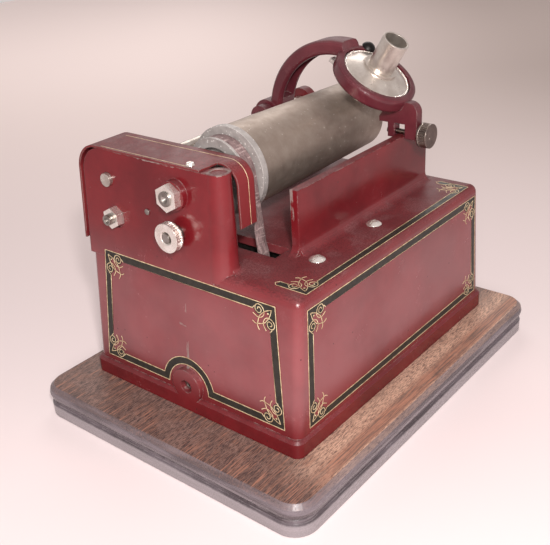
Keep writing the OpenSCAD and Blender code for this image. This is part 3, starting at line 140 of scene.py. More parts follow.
class Graph:
    """Adds and joins the nodes of one tree."""

    def __init__(self, tree: bpy.types.NodeTree) -> None:
        """Keeps the tree that the calls add to."""
        self.tree = tree

    def add(self, kind: str, inputs: Optional[dict] = None, **settings: object) -> bpy.types.Node:
        """Adds a node.

        Args:
            kind: Blender's name of the node type.
            inputs: socket name or number, with a value or a socket that feeds it.
            settings: properties of the node itself.

        Returns:
            The new node.
        """
        node = self.tree.nodes.new(kind)
        for key, value in settings.items():
            setattr(node, key, value)
        for key, value in (inputs or {}).items():
            self.feed(node.inputs[key], value)
        return node

    def supply(self, node: bpy.types.Node, **values: Value) -> None:
        """Feeds inputs of a node, with underscores for the spaces of their names."""
        for key, value in values.items():
            self.feed(node.inputs[key.replace("_", " ")], value)

    def feed(self, socket: bpy.types.NodeSocket, value: Value) -> None:
        """Joins a socket to another one, or sets its value.

        Args:
            socket: the input to feed.
            value: a socket, or a plain value.
        """
        if isinstance(value, bpy.types.NodeSocket):
            self.tree.links.new(value, socket)
        else:
            socket.default_value = value

    def coords(self) -> bpy.types.NodeSocket:
        """Gives the object coordinates, which are metres in the shared frame."""
        return self.add("ShaderNodeTexCoord").outputs["Object"]

    def split(self, value: Value) -> bpy.types.bpy_prop_collection:
        """Gives the three parts of a vector."""
        return self.add("ShaderNodeSeparateXYZ", {0: value}).outputs

    def upright(self) -> bpy.types.NodeSocket:
        """Gives how far a face looks up: 1 for level, 0 for upright."""
        return self.split(self.add("ShaderNodeNewGeometry").outputs["Normal"])[2]

    def math(self, how: str, a: Value, b: Value = 0.0, clamp: bool = False) -> bpy.types.NodeSocket:
        """Puts one sum of two values into the tree and gives its result."""
        return self.add("ShaderNodeMath", {0: a, 1: b}, operation=how, use_clamp=clamp).outputs[0]

    def times(self, a: Value, b: Value) -> bpy.types.NodeSocket:
        """Gives the product of two values."""
        return self.math("MULTIPLY", a, b)

    def vector(self, how: str, a: Value, b: Value) -> bpy.types.Node:
        """Puts one vector sum into the tree and gives its node."""
        return self.add("ShaderNodeVectorMath", {0: a, 1: b}, operation=how)

    def remap(self, value: Value, low: Value, high: Value, to_low: float = 0.0,
              to_high: float = 1.0) -> bpy.types.NodeSocket:
        """Maps a range of a value to another range, smoothly and clamped.

        Args:
            value: what is mapped.
            low: the value that becomes to_low.
            high: the value that becomes to_high.
            to_low: start of the new range.
            to_high: end of the new range.

        Returns:
            The mapped value.
        """
        node = self.add("ShaderNodeMapRange", {"Value": value, "From Min": low, "From Max": high,
                                               "To Min": to_low, "To Max": to_high},
                        interpolation_type="SMOOTHSTEP", clamp=True)
        return node.outputs[0]

    def mix(self, factor: Value, low: Value, high: Value) -> bpy.types.NodeSocket:
        """Mixes two colours by a factor and gives the colour.

        Args:
            factor: share of the second colour.
            low: first colour.
            high: second colour.

        Returns:
            The mixed colour.
        """
        node = self.add("ShaderNodeMix", data_type="RGBA", blend_type="MIX")
        for number, value in ((0, factor), (6, low), (7, high)):
            self.feed(node.inputs[number], value)
        return node.outputs[2]

    def noise(self, at: Value, scale: Value, detail: float = 4.0, rough: float = 0.55) -> bpy.types.NodeSocket:
        """Gives a noise value at a place, with a scale in patches per metre."""
        return self.add("ShaderNodeTexNoise", {"Vector": at, "Scale": scale, "Detail": detail,
                                               "Roughness": rough}).outputs[0]

    def stretched(self, at: Value, scale: Sequence[float]) -> bpy.types.NodeSocket:
        """Scales coordinates by a different amount along each axis."""
        return self.vector("MULTIPLY", at, scale).outputs[0]

    def effect(self, effect: Effect, **inputs: Value) -> bpy.types.Node:
        """Places a shared effect, with underscores for the spaces of its inputs' names.

        Args:
            effect: which one.
            inputs: values of its inputs.

        Returns:
            The node of the group.
        """
        node = self.add("ShaderNodeGroup", node_tree=EFFECTS.tree(effect))
        self.supply(node, **inputs)
        return node

    def mask(self, effect: Effect, **inputs: Value) -> bpy.types.NodeSocket:
        """Places a shared effect and gives its mask."""
        return self.effect(effect, **inputs).outputs["Mask"]

    def bump(self, strength: float, depth: float, height: Value,
             over: Optional[bpy.types.NodeSocket] = None) -> bpy.types.NodeSocket:
        """Gives a normal with fine relief.

        Args:
            strength: share of the relief that shows.
            depth: how deep the relief is, in metres.
            height: the relief itself.
            over: normal that the relief lies on, where it isn't the face's own.

        Returns:
            The normal.
        """
        node = self.add("ShaderNodeBump", {"Strength": strength, "Distance": depth, "Height": height})
        if over is not None:
            self.feed(node.inputs["Normal"], over)
        return node.outputs[0]


class EffectShelf:
    """Builds each shared shader group once and keeps it."""

    def __init__(self) -> None:
        """Starts with nothing built."""
        self.built: dict[Effect, bpy.types.NodeTree] = {}

    def tree(self, effect: Effect) -> bpy.types.NodeTree:
        """Gives the group of an effect, built at its first use.

        Args:
            effect: which one.

        Returns:
            Its group.
        """
        if effect not in self.built:
            makers = {Effect.EDGE_WEAR: self.edge_wear, Effect.SCRATCHES: self.scratches,
                      Effect.GRIME: self.grime, Effect.SPECKS: self.specks,
                      Effect.WORN_PATCH: self.worn_patch}
            self.built[effect] = makers[effect](effect.value)
        return self.built[effect]

    @staticmethod
    def opened(name: str, floats: dict[str, float], vectors: Sequence[str] = (),
               outputs: Sequence[str] = ("Mask",)) -> tuple[Graph, dict, bpy.types.Node]:
        """Starts a shader group.

        Args:
            name: name of the group.
            floats: number inputs with their defaults.
            vectors: names of the vector inputs.
            outputs: names of the outputs; one that ends in Normal is a vector.

        Returns:
            The graph, its input sockets by name, and the output node.
        """
        tree = bpy.data.node_groups.new(name, "ShaderNodeTree")
        for key, value in floats.items():
            tree.interface.new_socket(key, in_out="INPUT", socket_type="NodeSocketFloat").default_value = value
        for key in vectors:
            tree.interface.new_socket(key, in_out="INPUT", socket_type="NodeSocketVector")
        for key in outputs:
            kind = "NodeSocketVector" if key.endswith("Normal") else "NodeSocketFloat"
            tree.interface.new_socket(key, in_out="OUTPUT", socket_type=kind)
        graph = Graph(tree)
        given = graph.add("NodeGroupInput").outputs
        return graph, {s.name: s for s in given if s.name}, graph.add("NodeGroupOutput")

    def edge_wear(self, name: str) -> bpy.types.NodeTree:
        """Builds a mask along sharp edges, broken by noise, and a rounded normal.

        Args:
            name: name of the group.

        Returns:
            The group.
        """
        g, given, out = self.opened(name, {"Radius": 0.0008, "Break Scale": 260.0, "Amount": 0.5},
                                    outputs=("Mask", "Soft Normal"))
        soft = g.add("ShaderNodeBevel", {"Radius": given["Radius"]}, samples=4).outputs[0]
        plain = g.add("ShaderNodeNewGeometry").outputs["Normal"]
        near = g.remap(g.vector("DOT_PRODUCT", soft, plain).outputs["Value"], 0.997, 0.82)
        broken = g.times(near, g.noise(g.coords(), given["Break Scale"], 6.0, 0.7))
        limit = g.math("SUBTRACT", 0.62, g.times(given["Amount"], 0.45))
        g.feed(out.inputs["Mask"], g.remap(broken, limit, g.math("ADD", limit, 0.09)))
        g.feed(out.inputs["Soft Normal"], soft)
        return g.tree

    def scratches(self, name: str) -> bpy.types.NodeTree:
        """Builds a mask of fine streaks, with a count per metre along each axis.

        Args:
            name: name of the group.

        Returns:
            The group.
        """
        g, given, out = self.opened(name, {"Cover": 0.5}, ("Stretch",))
        streak = g.noise(g.stretched(g.coords(), given["Stretch"]), 1.0, 3.0, 0.65)
        limit = g.math("SUBTRACT", 0.74, g.times(given["Cover"], 0.25))
        g.feed(out.inputs["Mask"], g.remap(streak, limit, g.math("ADD", limit, 0.1)))
        return g.tree

    def grime(self, name: str) -> bpy.types.NodeTree:
        """Builds a mask of soft dull patches with a fine grain in them.

        Args:
            name: name of the group.

        Returns:
            The group.
        """
        g, given, out = self.opened(name, {"Scale": 40.0, "Cover": 0.5})
        wide = g.noise(g.coords(), given["Scale"], 5.0, 0.6)
        fine = g.noise(g.coords(), g.times(given["Scale"], 9.0), 4.0, 0.7)
        both = g.math("ADD", g.times(wide, 0.68), g.times(fine, 0.32))
        limit = g.math("SUBTRACT", 0.64, g.times(given["Cover"], 0.22))
        g.feed(out.inputs["Mask"], g.remap(both, limit, g.math("ADD", limit, 0.16)))
        return g.tree

    def specks(self, name: str) -> bpy.types.NodeTree:
        """Builds a mask of small scattered dots.

        Args:
            name: name of the group.

        Returns:
            The group.
        """
        g, given, out = self.opened(name, {"Scale": 300.0, "Size": 0.2, "Share": 0.1})
        cells = g.add("ShaderNodeTexVoronoi", {"Vector": g.coords(), "Scale": given["Scale"]})
        pick = g.math("LESS_THAN", g.split(cells.outputs["Color"])[0], given["Share"])
        dot = g.remap(cells.outputs["Distance"], given["Size"], g.times(given["Size"], 0.6))
        g.feed(out.inputs["Mask"], g.times(dot, pick))
        return g.tree

    def worn_patch(self, name: str) -> bpy.types.NodeTree:
        """Builds a mask of one rubbed place: a soft box with streaks in it.

        Args:
            name: name of the group.

        Returns:
            The group.
        """
        g, given, out = self.opened(name, {"Cover": 0.5}, ("Centre", "Half Size", "Stretch"))
        away = g.vector("SUBTRACT", g.coords(), given["Centre"]).outputs[0]
        away = g.vector("ABSOLUTE", away, (0.0, 0.0, 0.0)).outputs[0]
        apart = g.split(g.vector("DIVIDE", away, given["Half Size"]).outputs[0])
        far = g.math("MAXIMUM", apart[0], g.math("MAXIMUM", apart[1], apart[2]))
        fade = g.remap(far, 1.0, 0.35)
        streak = g.noise(g.stretched(g.coords(), given["Stretch"]), 1.0, 4.0, 0.65)
        limit = g.math("SUBTRACT", 0.62, g.times(given["Cover"], 0.4))
        g.feed(out.inputs["Mask"], g.remap(g.times(fade, streak), limit, g.math("ADD", limit, 0.12)))
        return g.tree


EFFECTS = EffectShelf()


def rgb(red: float, green: float, blue: float) -> Colour:
    """Gives a linear colour with full cover."""
    return (red, green, blue, 1.0)


@dataclass(frozen=True)
class Rub:
    """A rubbed place on the case, in millimetres of the case's own frame."""

    centre: Size3
    half: Size3
    stretch: Size3
    cover: float

    def mask(self, g: Graph) -> bpy.types.NodeSocket:
        """Gives the mask of this place.

        Args:
            g: graph of the material.

        Returns:
            The mask.
        """
        centre = CASE_CORNER + Vector(self.centre) * MM
        return g.mask(Effect.WORN_PATCH, Centre=tuple(centre), Half_Size=tuple(Vector(self.half) * MM),
                      Stretch=self.stretch, Cover=self.cover)


@dataclass(frozen=True)
class Finish:
    """A finish that makes one material."""

    name: str

    def opened(self) -> tuple[bpy.types.Material, Graph, bpy.types.Node]:
        """Starts the material.

        Returns:
            The material, its graph and its shader.
        """
        material = bpy.data.materials.new(self.name)
        material.use_nodes = True
        shader = next(n for n in material.node_tree.nodes if n.type == "BSDF_PRINCIPLED")
        return material, Graph(material.node_tree), shader

    def build(self) -> bpy.types.Material:
        """Makes the material; each kind of finish has its own way."""
        raise NotImplementedError


@dataclass(frozen=True)
class Enamel(Finish):
    """Baked gloss enamel over iron, chipped at its edges."""

    base: Colour = rgb(0.165, 0.010, 0.014)
    deep: Colour = rgb(0.104, 0.006, 0.009)
    bare: Colour = rgb(0.29, 0.215, 0.20)
    rusty: Colour = rgb(0.20, 0.14, 0.13)
    # The dull colour below is a painted sheen: the pale room reflected in the gloss, laid in a band low on the
    # faces and in cloudy patches.
    dull: Colour = rgb(0.36, 0.145, 0.155)
    soot: Colour = rgb(0.035, 0.012, 0.013)
    dirt: Colour = rgb(0.045, 0.008, 0.010)
    dust: Colour = rgb(0.19, 0.115, 0.118)
    bloom: float = 0.0
    # Heights between which the painted sheen comes up, and goes again
    sheen_rise: Range = (0.024, 0.052)
    sheen_fall: Range = (0.125, 0.075)
    haze_and_sheen: float = 0.14
    gloss: Range = (0.14, 0.27)
    index: float = 1.52
    mirror: float = 0.42
    settle: float = 0.34
    wear: float = 0.45
    soft: float = 0.0009
    rubs: tuple[Rub, ...] = ()

    def build(self) -> bpy.types.Material:
        """Makes cloudy gloss paint with a painted sheen, specks, chips, rubbed places and a faint ripple.

        Returns:
            The material.
        """
        material, g, shader = self.opened()
        at = g.coords()
        cloud = g.noise(at, 22.0, 5.0, 0.6)
        tone = g.mix(g.remap(cloud, 0.35, 0.68), self.deep, self.base)
        # Painted sheen: the pale room's reflection mixed into the colour, in cloudy patches and in a band low on
        # the faces; the patches also dull the gloss.
        haze_and_sheen = g.mask(Effect.GRIME, Scale=34.0, Cover=0.42)
        height = g.split(at)[2]
        rise = g.times(g.remap(height, *self.sheen_rise), g.remap(height, *self.sheen_fall))
        painted_sheen = g.times(rise, g.remap(g.noise(at, 14.0, 4.0, 0.6), 0.25, 0.6, 0.55, 1.0))
        painted_sheen = g.math("ADD", g.times(painted_sheen, self.bloom), g.times(haze_and_sheen, self.haze_and_sheen), clamp=True)
        tone = g.mix(painted_sheen, tone, self.dull)
        settled = g.times(g.remap(g.upright(), 0.45, 0.9), g.remap(cloud, 0.3, 0.55, 0.75, 1.0))
        tone = self.dusted(g, at, settled, tone)
        dark = g.mask(Effect.SPECKS, Scale=230.0, Size=0.13, Share=0.07)
        tone = g.mix(g.times(dark, 0.75), tone, self.soot)
        pale = g.mask(Effect.SPECKS, Scale=330.0, Size=0.1, Share=0.05)
        tone = g.mix(g.times(pale, 0.5), tone, self.bare)
        edge = g.effect(Effect.EDGE_WEAR, Radius=self.soft, Break_Scale=210.0, Amount=self.wear)
        chip = edge.outputs["Mask"]
        for rub in self.rubs:
            chip = g.math("MAXIMUM", chip, rub.mask(g))
        tone = g.mix(chip, tone, g.mix(g.noise(at, 700.0, 3.0), self.bare, self.rusty))
        rough = g.remap(g.noise(at, 60.0, 4.0, 0.65), 0.3, 0.7, *self.gloss)
        rough = g.math("ADD", rough, g.times(g.math("MAXIMUM", chip, g.times(haze_and_sheen, 0.3)), 0.3))
        rough = g.math("ADD", rough, g.times(settled, self.settle))
        ripple = g.math("SUBTRACT", g.noise(at, 420.0, 2.0), g.times(chip, 0.9))
        normal = g.bump(0.09, 0.0004, ripple, edge.outputs["Soft Normal"])
        g.supply(shader, Base_Color=tone, Roughness=rough, Normal=normal, Specular_IOR_Level=self.mirror,
                 IOR=self.index)
        return material

    def dusted(self, g: Graph, at: Value, settled: Value, tone: Value) -> bpy.types.NodeSocket:
        """Lays a grain of dirt and patches of dust on the upper faces.

        Args:
            g: graph of the material.
            at: coordinates.
            settled: mask of the upper faces.
            tone: colour so far.

        Returns:
            Colour with the dirt and dust on it.
        """
        grain = g.noise(at, 1150.0, 3.0, 0.6)
        patch = g.remap(g.noise(at, 42.0, 4.0, 0.6), 0.46, 0.62)
        dirt = g.times(settled, g.remap(grain, 0.56, 0.38, 0.0, 0.6))
        dust = g.times(g.times(settled, patch), g.remap(grain, 0.46, 0.62, 0.1, 0.5))
        return g.mix(dust, g.mix(dirt, tone, self.dirt), self.dust)


@dataclass(frozen=True)
class StainedOak(Finish):
    """Old stained oak with open pores, grain along the board's length."""

    dark: Colour = rgb(0.050, 0.030, 0.029)
    middle: Colour = rgb(0.285, 0.172, 0.142)
    mellow: Colour = rgb(0.16, 0.098, 0.080)
    light: Colour = rgb(0.72, 0.45, 0.33)
    rubbed: Colour = rgb(0.46, 0.215, 0.145)
    # The shade and edge colours paint the moulding darker and lilac-grey by the slope of its faces, a painted
    # shade and sheen; the dust colour is a painted reflection of the floor on the lip.
    shade: Colour = rgb(0.085, 0.066, 0.073)
    edge: Colour = rgb(0.175, 0.142, 0.158)
    pore: Colour = rgb(0.030, 0.019, 0.018)
    stain: Colour = rgb(0.070, 0.050, 0.050)
    dust: Colour = rgb(0.36, 0.32, 0.335)
    worn: Colour = rgb(0.46, 0.40, 0.41)
    half: float = 0.098
    # Where the pale front begins and is full, along and across the board
    front_x: Range = (-0.118, -0.080)
    front_y: Range = (-0.060, -0.084)
    # Heights below which the moulding takes its painted shade and sheen, and the lip its painted reflection of the
    # floor
    brow_z: Range = (0.0172, 0.0164)
    lip_z: Range = (0.0072, 0.0060)
    # Distances from the rim between which the warm margin begins and ends
    margin_start: Range = (0.0030, 0.0050)
    margin_end: Range = (0.0150, 0.0095)

    def build(self) -> bpy.types.Material:
        """Makes flecks, streaks, pores, a rubbed margin and a glossy moulding with painted shade and sheen, paler
        at the lip with a painted reflection of the floor.

        Returns:
            The material.
        """
        material, g, shader = self.opened()
        at = g.coords()
        place = g.split(at)
        sway = g.times(g.math("SUBTRACT", g.noise(at, 30.0, 3.0), 0.5), 0.0012)
        bent = g.vector("ADD", at, g.add("ShaderNodeCombineXYZ", {1: sway}).outputs[0]).outputs[0]
        dash = g.noise(g.stretched(bent, (300.0, 2300.0, 2300.0)), 1.0, 4.0, 0.75)
        streak = g.noise(g.stretched(bent, (38.0, 1100.0, 1100.0)), 1.0, 4.0, 0.7)
        patch = g.noise(at, 48.0, 5.0, 0.62)
        front = g.times(g.remap(place[1], *self.front_y), g.remap(place[0], *self.front_x))
        tone = g.mix(g.remap(dash, 0.41, 0.58), self.dark, self.middle)
        tone = g.mix(g.times(g.remap(patch, 0.60, 0.42), 0.45), tone, self.dark)
        pale = g.mix(g.remap(dash, 0.38, 0.55), self.mellow, self.light)
        tone = g.mix(g.times(front, g.remap(patch, 0.25, 0.55, 0.6, 0.95)), tone, pale)
        lines = g.times(g.remap(streak, 0.50, 0.60), g.remap(patch, 0.62, 0.42))
        tone = g.mix(g.times(lines, g.remap(front, 0.0, 1.0, 0.75, 0.25)), tone, self.rubbed)
        tone = self.margin(g, place[1], g.times(front, g.remap(patch, 0.25, 0.45)), streak, tone)
        pores = g.mask(Effect.SCRATCHES, Stretch=(330.0, 2300.0, 2300.0), Cover=0.42)
        tone = g.mix(g.times(pores, 0.75), tone, self.pore)
        stain = g.mask(Effect.GRIME, Scale=30.0, Cover=0.45)
        tone = g.mix(g.times(stain, 0.4), tone, self.stain)
        # Painted shade and sheen: faces that slope away from the top, and all below the brow, turn a darker
        # lilac-grey; the lip at the bottom is paler, a painted reflection of the floor.
        side = g.math("MAXIMUM", g.remap(g.upright(), 0.94, 0.62), g.remap(place[2], *self.brow_z))
        smear = g.noise(g.stretched(at, (26.0, 26.0, 330.0)), 1.0, 5.0, 0.6)
        tone = g.mix(side, tone, g.mix(g.remap(smear, 0.35, 0.65), self.shade, self.edge))
        dust = g.times(side, g.remap(place[2], *self.lip_z))
        tone = g.mix(g.times(dust, 0.6), tone, self.dust)
        wear = g.effect(Effect.EDGE_WEAR, Radius=0.0010, Break_Scale=120.0, Amount=0.35)
        tone = g.mix(g.times(wear.outputs["Mask"], 0.45), tone, self.worn)
        rough = g.math("SUBTRACT", g.remap(dash, 0.3, 0.7, 0.44, 0.60), g.times(side, 0.26))
        depth = g.math("SUBTRACT", dash, g.times(pores, 0.8))
        depth = g.times(depth, g.math("SUBTRACT", 1.0, side))
        normal = g.bump(0.35, 0.0004, depth, wear.outputs["Soft Normal"])
        g.supply(shader, Base_Color=tone, Roughness=rough, Normal=normal)
        return material

    def margin(self, g: Graph, y: Value, share: Value, streak: Value, tone: Value) -> bpy.types.NodeSocket:
        """Rubs a warm band along the front rim of the top.

        Args:
            g: graph of the material.
            y: coordinate across the board.
            share: how much of the band is there.
            streak: fine noise that streaks it.
            tone: colour so far.

        Returns:
            The colour with the band on it.
        """
        inward = g.math("SUBTRACT", self.half, g.math("ABSOLUTE", y))
        band = g.times(g.remap(inward, *self.margin_start), g.remap(inward, *self.margin_end))
        band = g.times(band, share)
        warm = g.mix(g.remap(streak, 0.40, 0.60), self.mellow, self.rubbed)
        return g.mix(g.times(band, 0.9), tone, warm)


@dataclass(frozen=True)
class Metal(Finish):
    """Bare or plated metal with turning marks, tarnish and pitted spots."""

    base: Colour = rgb(0.66, 0.61, 0.55)
    tarnish: Colour = rgb(0.36, 0.29, 0.24)
    spot: Colour = rgb(0.62, 0.57, 0.52)
    gloss: Range = (0.16, 0.34)
    marks: Size3 = (1500.0, 60.0, 60.0)
    mark_cover: float = 0.45
    cover: float = 0.45
    spots: float = 0.1
    wear: float = 0.3
    grain: float = 0.12
    bright: float = 1.0

    def build(self) -> bpy.types.Material:
        """Makes the metal with a tone, a gloss and a normal that all change over it.

        Returns:
            The material.
        """
        material, g, shader = self.opened()
        at = g.coords()
        marks = g.mask(Effect.SCRATCHES, Stretch=self.marks, Cover=self.mark_cover)
        stain = g.mask(Effect.GRIME, Scale=70.0, Cover=self.cover)
        pits = g.mask(Effect.SPECKS, Scale=520.0, Size=0.26, Share=self.spots)
        edge = g.effect(Effect.EDGE_WEAR, Radius=0.0004, Break_Scale=500.0, Amount=self.wear)
        cloud = g.noise(at, 130.0, 5.0, 0.65)
        tone = g.mix(g.remap(cloud, 0.3, 0.75), self.tarnish, self.base)
        tone = g.mix(g.times(stain, 0.6), tone, self.tarnish)
        tone = g.mix(g.times(marks, 0.28), tone, self.spot)
        tone = g.mix(g.times(pits, 0.8), tone, self.spot)
        tone = g.mix(g.times(edge.outputs["Mask"], 0.7), tone, self.spot)
        rough = g.math("ADD", g.remap(g.noise(at, 240.0, 4.0, 0.65), 0.3, 0.7, *self.gloss),
                       g.times(g.math("MAXIMUM", stain, pits), 0.16))
        shine = g.math("SUBTRACT", self.bright, g.times(pits, 0.75 * self.bright))
        height = g.math("ADD", g.times(marks, 0.5), g.noise(at, 900.0, 3.0))
        normal = g.bump(self.grain, 0.0003, height, edge.outputs["Soft Normal"])
        g.supply(shader, Base_Color=tone, Roughness=rough, Metallic=shine, Normal=normal)
        return material


@dataclass(frozen=True)
class Threaded(Finish):
    """Steel screw with a fine thread along the object's length."""

    root: Colour = rgb(0.09, 0.075, 0.06)
    crest: Colour = rgb(0.5, 0.47, 0.43)
    rust: Colour = rgb(0.2, 0.13, 0.08)
    pitch: float = 0.0008

    def build(self) -> bpy.types.Material:
        """Makes rings of a fine thread by a bump, darker in their roots.

        Returns:
            The material.
        """
        material, g, shader = self.opened()
        at = g.coords()
        along = g.split(at)[0]
        wave = g.math("SINE", g.times(along, 2 * math.pi / self.pitch))
        crest = g.remap(wave, -0.9, 0.7)
        stain = g.mask(Effect.GRIME, Scale=90.0, Cover=0.5)
        tone = g.mix(crest, self.root, self.crest)
        tone = g.mix(g.times(stain, 0.5), tone, self.rust)
        rough = g.remap(g.noise(at, 300.0), 0.3, 0.7, 0.25, 0.45)
        g.supply(shader, Base_Color=tone, Roughness=rough, Metallic=1.0, Normal=g.bump(0.8, 0.0003, crest))
        return material


@dataclass(frozen=True)
class Leather(Finish):
    """Dry belt leather with a fibrous surface."""

    base: Colour = rgb(0.27, 0.180, 0.178)
    dark: Colour = rgb(0.11, 0.070, 0.070)
    pale: Colour = rgb(0.46, 0.35, 0.34)

    def build(self) -> bpy.types.Material:
        """Makes long fibres, creases and dry pale patches.

        Returns:
            The material.
        """
        material, g, shader = self.opened()
        at = g.coords()
        fibre = g.noise(g.stretched(at, (1500.0, 260.0, 260.0)), 1.0, 5.0, 0.7)
        crease = g.noise(g.stretched(at, (120.0, 600.0, 600.0)), 1.0, 4.0, 0.65)
        tone = g.mix(g.remap(fibre, 0.34, 0.64), self.dark, self.base)
        tone = g.mix(g.remap(crease, 0.52, 0.7), tone, self.pale)
        dry = g.mask(Effect.GRIME, Scale=110.0, Cover=0.5)
        tone = g.mix(g.times(dry, 0.4), tone, self.pale)
        normal = g.bump(0.5, 0.0004, g.math("ADD", fibre, crease))
        g.supply(shader, Base_Color=tone, Roughness=g.remap(fibre, 0.3, 0.7, 0.55, 0.8), Normal=normal)
        return material


@dataclass(frozen=True)
class Paint(Finish):
    """Thin line of paint or leaf that has worn in places."""

    base: Colour = rgb(0.80, 0.65, 0.41)
    worn: Colour = rgb(0.46, 0.32, 0.18)
    shine: float = 0.15
    mirror: float = 0.5
    gloss: Range = (0.32, 0.5)
    cover: float = 0.35

    def build(self) -> bpy.types.Material:
        """Makes the line with fine worn breaks.

        Returns:
            The material.
        """
        material, g, shader = self.opened()
        at = g.coords()
        worn = g.mask(Effect.GRIME, Scale=150.0, Cover=self.cover)
        tone = g.mix(g.remap(g.noise(at, 380.0, 4.0), 0.3, 0.7), self.worn, self.base)
        tone = g.mix(g.times(worn, 0.6), tone, self.worn)
        g.supply(shader, Base_Color=tone, Roughness=g.remap(g.noise(at, 90.0), 0.3, 0.7, *self.gloss),
                 Metallic=self.shine, Specular_IOR_Level=self.mirror)
        return material


@dataclass(frozen=True)
class Rubber(Finish):
    """Aged rubber of the sealing rings."""

    base: Colour = rgb(0.07, 0.062, 0.055)
    bloom: Colour = rgb(0.16, 0.145, 0.13)

    def build(self) -> bpy.types.Material:
        """Makes dull rubber with a pale bloom.

        Returns:
            The material.
        """
        material, g, shader = self.opened()
        bloom = g.mask(Effect.GRIME, Scale=160.0, Cover=0.5)
        rough = g.remap(g.noise(g.coords(), 500.0), 0.3, 0.7, 0.6, 0.85)
        g.supply(shader, Base_Color=g.mix(bloom, self.base, self.bloom), Roughness=rough)
        return material


class Palette:
    """Holds every finish, and which piece or slot takes which."""

    def __init__(self) -> None:
        """Lists the finishes; a material is made at its first use."""
        left_rubs = (
            Rub((4.6, 78.3, 33.5), (4.0, 1.9, 16.0), (700.0, 900.0, 60.0), 0.62),
            Rub((6.9, 78.6, 62.5), (4.0, 0.9, 5.0), (800.0, 900.0, 90.0), 0.6),
            Rub((6.0, 81.0, 52.0), (4.0, 5.0, 1.5), (800.0, 120.0, 700.0), 0.5),
            Rub((2.6, 78.0, 16.0), (2.5, 6.2, 6.2), (500.0, 500.0, 500.0), 0.55),
            Rub((18.6, 57.0, 140.0), (8.0, 8.0, 1.5), (500.0, 500.0, 500.0), 0.9),
            Rub((12.0, 96.0, 139.4), (3.0, 26.0, 1.2), (700.0, 260.0, 900.0), 0.5),
            Rub((51.5, 40.0, 119.0), (1.6, 6.0, 22.0), (500.0, 500.0, 160.0), 0.55),
        )
        self.by_slot: dict[Slot, Finish] = {
            Slot.OAK: StainedOak("stained oak"),
            Slot.ENAMEL: Enamel("oxblood enamel"),
            Slot.NICKEL: Metal("bright nickel", gloss=(0.22, 0.34), cover=0.25, base=rgb(0.93, 0.90, 0.86),
                               tarnish=rgb(0.74, 0.68, 0.63), bright=0.85),
            Slot.STEEL: Metal("grey steel", base=rgb(0.42, 0.40, 0.38), tarnish=rgb(0.20, 0.17, 0.15),
                              spot=rgb(0.5, 0.48, 0.45), gloss=(0.28, 0.45), spots=0.04),
            Slot.CAST_GREY: Metal("grey casting", base=rgb(0.48, 0.445, 0.43), tarnish=rgb(0.33, 0.30, 0.29),
                                  spot=rgb(0.78, 0.75, 0.73), gloss=(0.42, 0.6), spots=0.5, wear=0.6,
                                  marks=(500.0, 500.0, 500.0), grain=0.4, cover=0.45, bright=0.35),
            Slot.BRASS: Metal("old brass", base=rgb(0.60, 0.43, 0.17), tarnish=rgb(0.30, 0.18, 0.07),
                              spot=rgb(0.66, 0.5, 0.26), gloss=(0.26, 0.42), spots=0.06),
            Slot.LEATHER: Leather("belt leather"),
            Slot.BLACK: Metal("blackened screw", base=rgb(0.05, 0.045, 0.045), tarnish=rgb(0.02, 0.018, 0.018),
                              spot=rgb(0.22, 0.2, 0.19), gloss=(0.3, 0.45), spots=0.05, wear=0.6),
            Slot.RUBBER: Rubber("aged rubber"),
        }
        self.by_node: dict[str, Finish] = {
            # The case's bloom and the cover's dull colour set the painted sheen: a pale reflection of the room
            # mixed into the enamel's colour.
            "case_casting": Enamel("case enamel", rubs=left_rubs, wear=0.32, bloom=0.42),
            "gear_cover": Enamel("cover enamel", base=rgb(0.175, 0.019, 0.022), deep=rgb(0.125, 0.011, 0.014),
                                 dull=rgb(0.22, 0.085, 0.080), gloss=(0.34, 0.48), wear=0.55, mirror=0.28,
                                 settle=0.04),
            "reproducer_cover": Metal("cover nickel", base=rgb(0.74, 0.685, 0.63), tarnish=rgb(0.56, 0.50, 0.45),
                                      spot=rgb(0.72, 0.66, 0.61), gloss=(0.27, 0.38), cover=0.2, spots=0.03,
                                      bright=0.9),
            "back_rod": Metal("plated rod", base=rgb(0.66, 0.62, 0.57), tarnish=rgb(0.42, 0.37, 0.33),
                              gloss=(0.2, 0.34), bright=0.85),
            "lift_screw": Metal("dull nickel", base=rgb(0.22, 0.175, 0.155), tarnish=rgb(0.13, 0.10, 0.09),
                                spot=rgb(0.7, 0.64, 0.58), gloss=(0.26, 0.4), wear=1.0),
            "carriage_arm": Enamel("arm enamel", base=rgb(0.135, 0.026, 0.034), deep=rgb(0.085, 0.014, 0.021),
                                   wear=0.35),
            "carriage_sleeve": Enamel("sleeve enamel", base=rgb(0.135, 0.026, 0.034),
                                      deep=rgb(0.085, 0.014, 0.021)),
            "mandrel": Metal("mandrel nickel", base=rgb(0.40, 0.333, 0.284), tarnish=rgb(0.33, 0.265, 0.223),
                             spot=rgb(0.52, 0.45, 0.40), gloss=(0.43, 0.55), marks=(1300.0, 30.0, 30.0),
                             mark_cover=0.55, cover=0.35, spots=0.14, wear=0.5, bright=0.8),
            "feed_screw": Threaded("threaded steel"),
        }
        self.gold = Paint("gold line")
        self.band = Paint("dark band", base=rgb(0.034, 0.030, 0.025), worn=rgb(0.020, 0.018, 0.015), shine=0.0,
                          mirror=0.2, gloss=(0.3, 0.45))
        self.made: dict[str, bpy.types.Material] = {}

    def material(self, finish: Finish) -> bpy.types.Material:
        """Gives the material of a finish.

        Args:
            finish: the finish.

        Returns:
            Its material, made at its first use.
        """
        if finish.name not in self.made:
            self.made[finish.name] = finish.build()
        return self.made[finish.name]

    def for_node(self, node: str, slot: Slot) -> bpy.types.Material:
        """Gives the material of a CAD node: its own finish, or that of its slot."""
        return self.material(self.by_node.get(node, self.by_slot[slot]))

    def for_slot(self, slot: Slot) -> bpy.types.Material:
        """Gives the material of a slot."""
        return self.material(self.by_slot[slot])


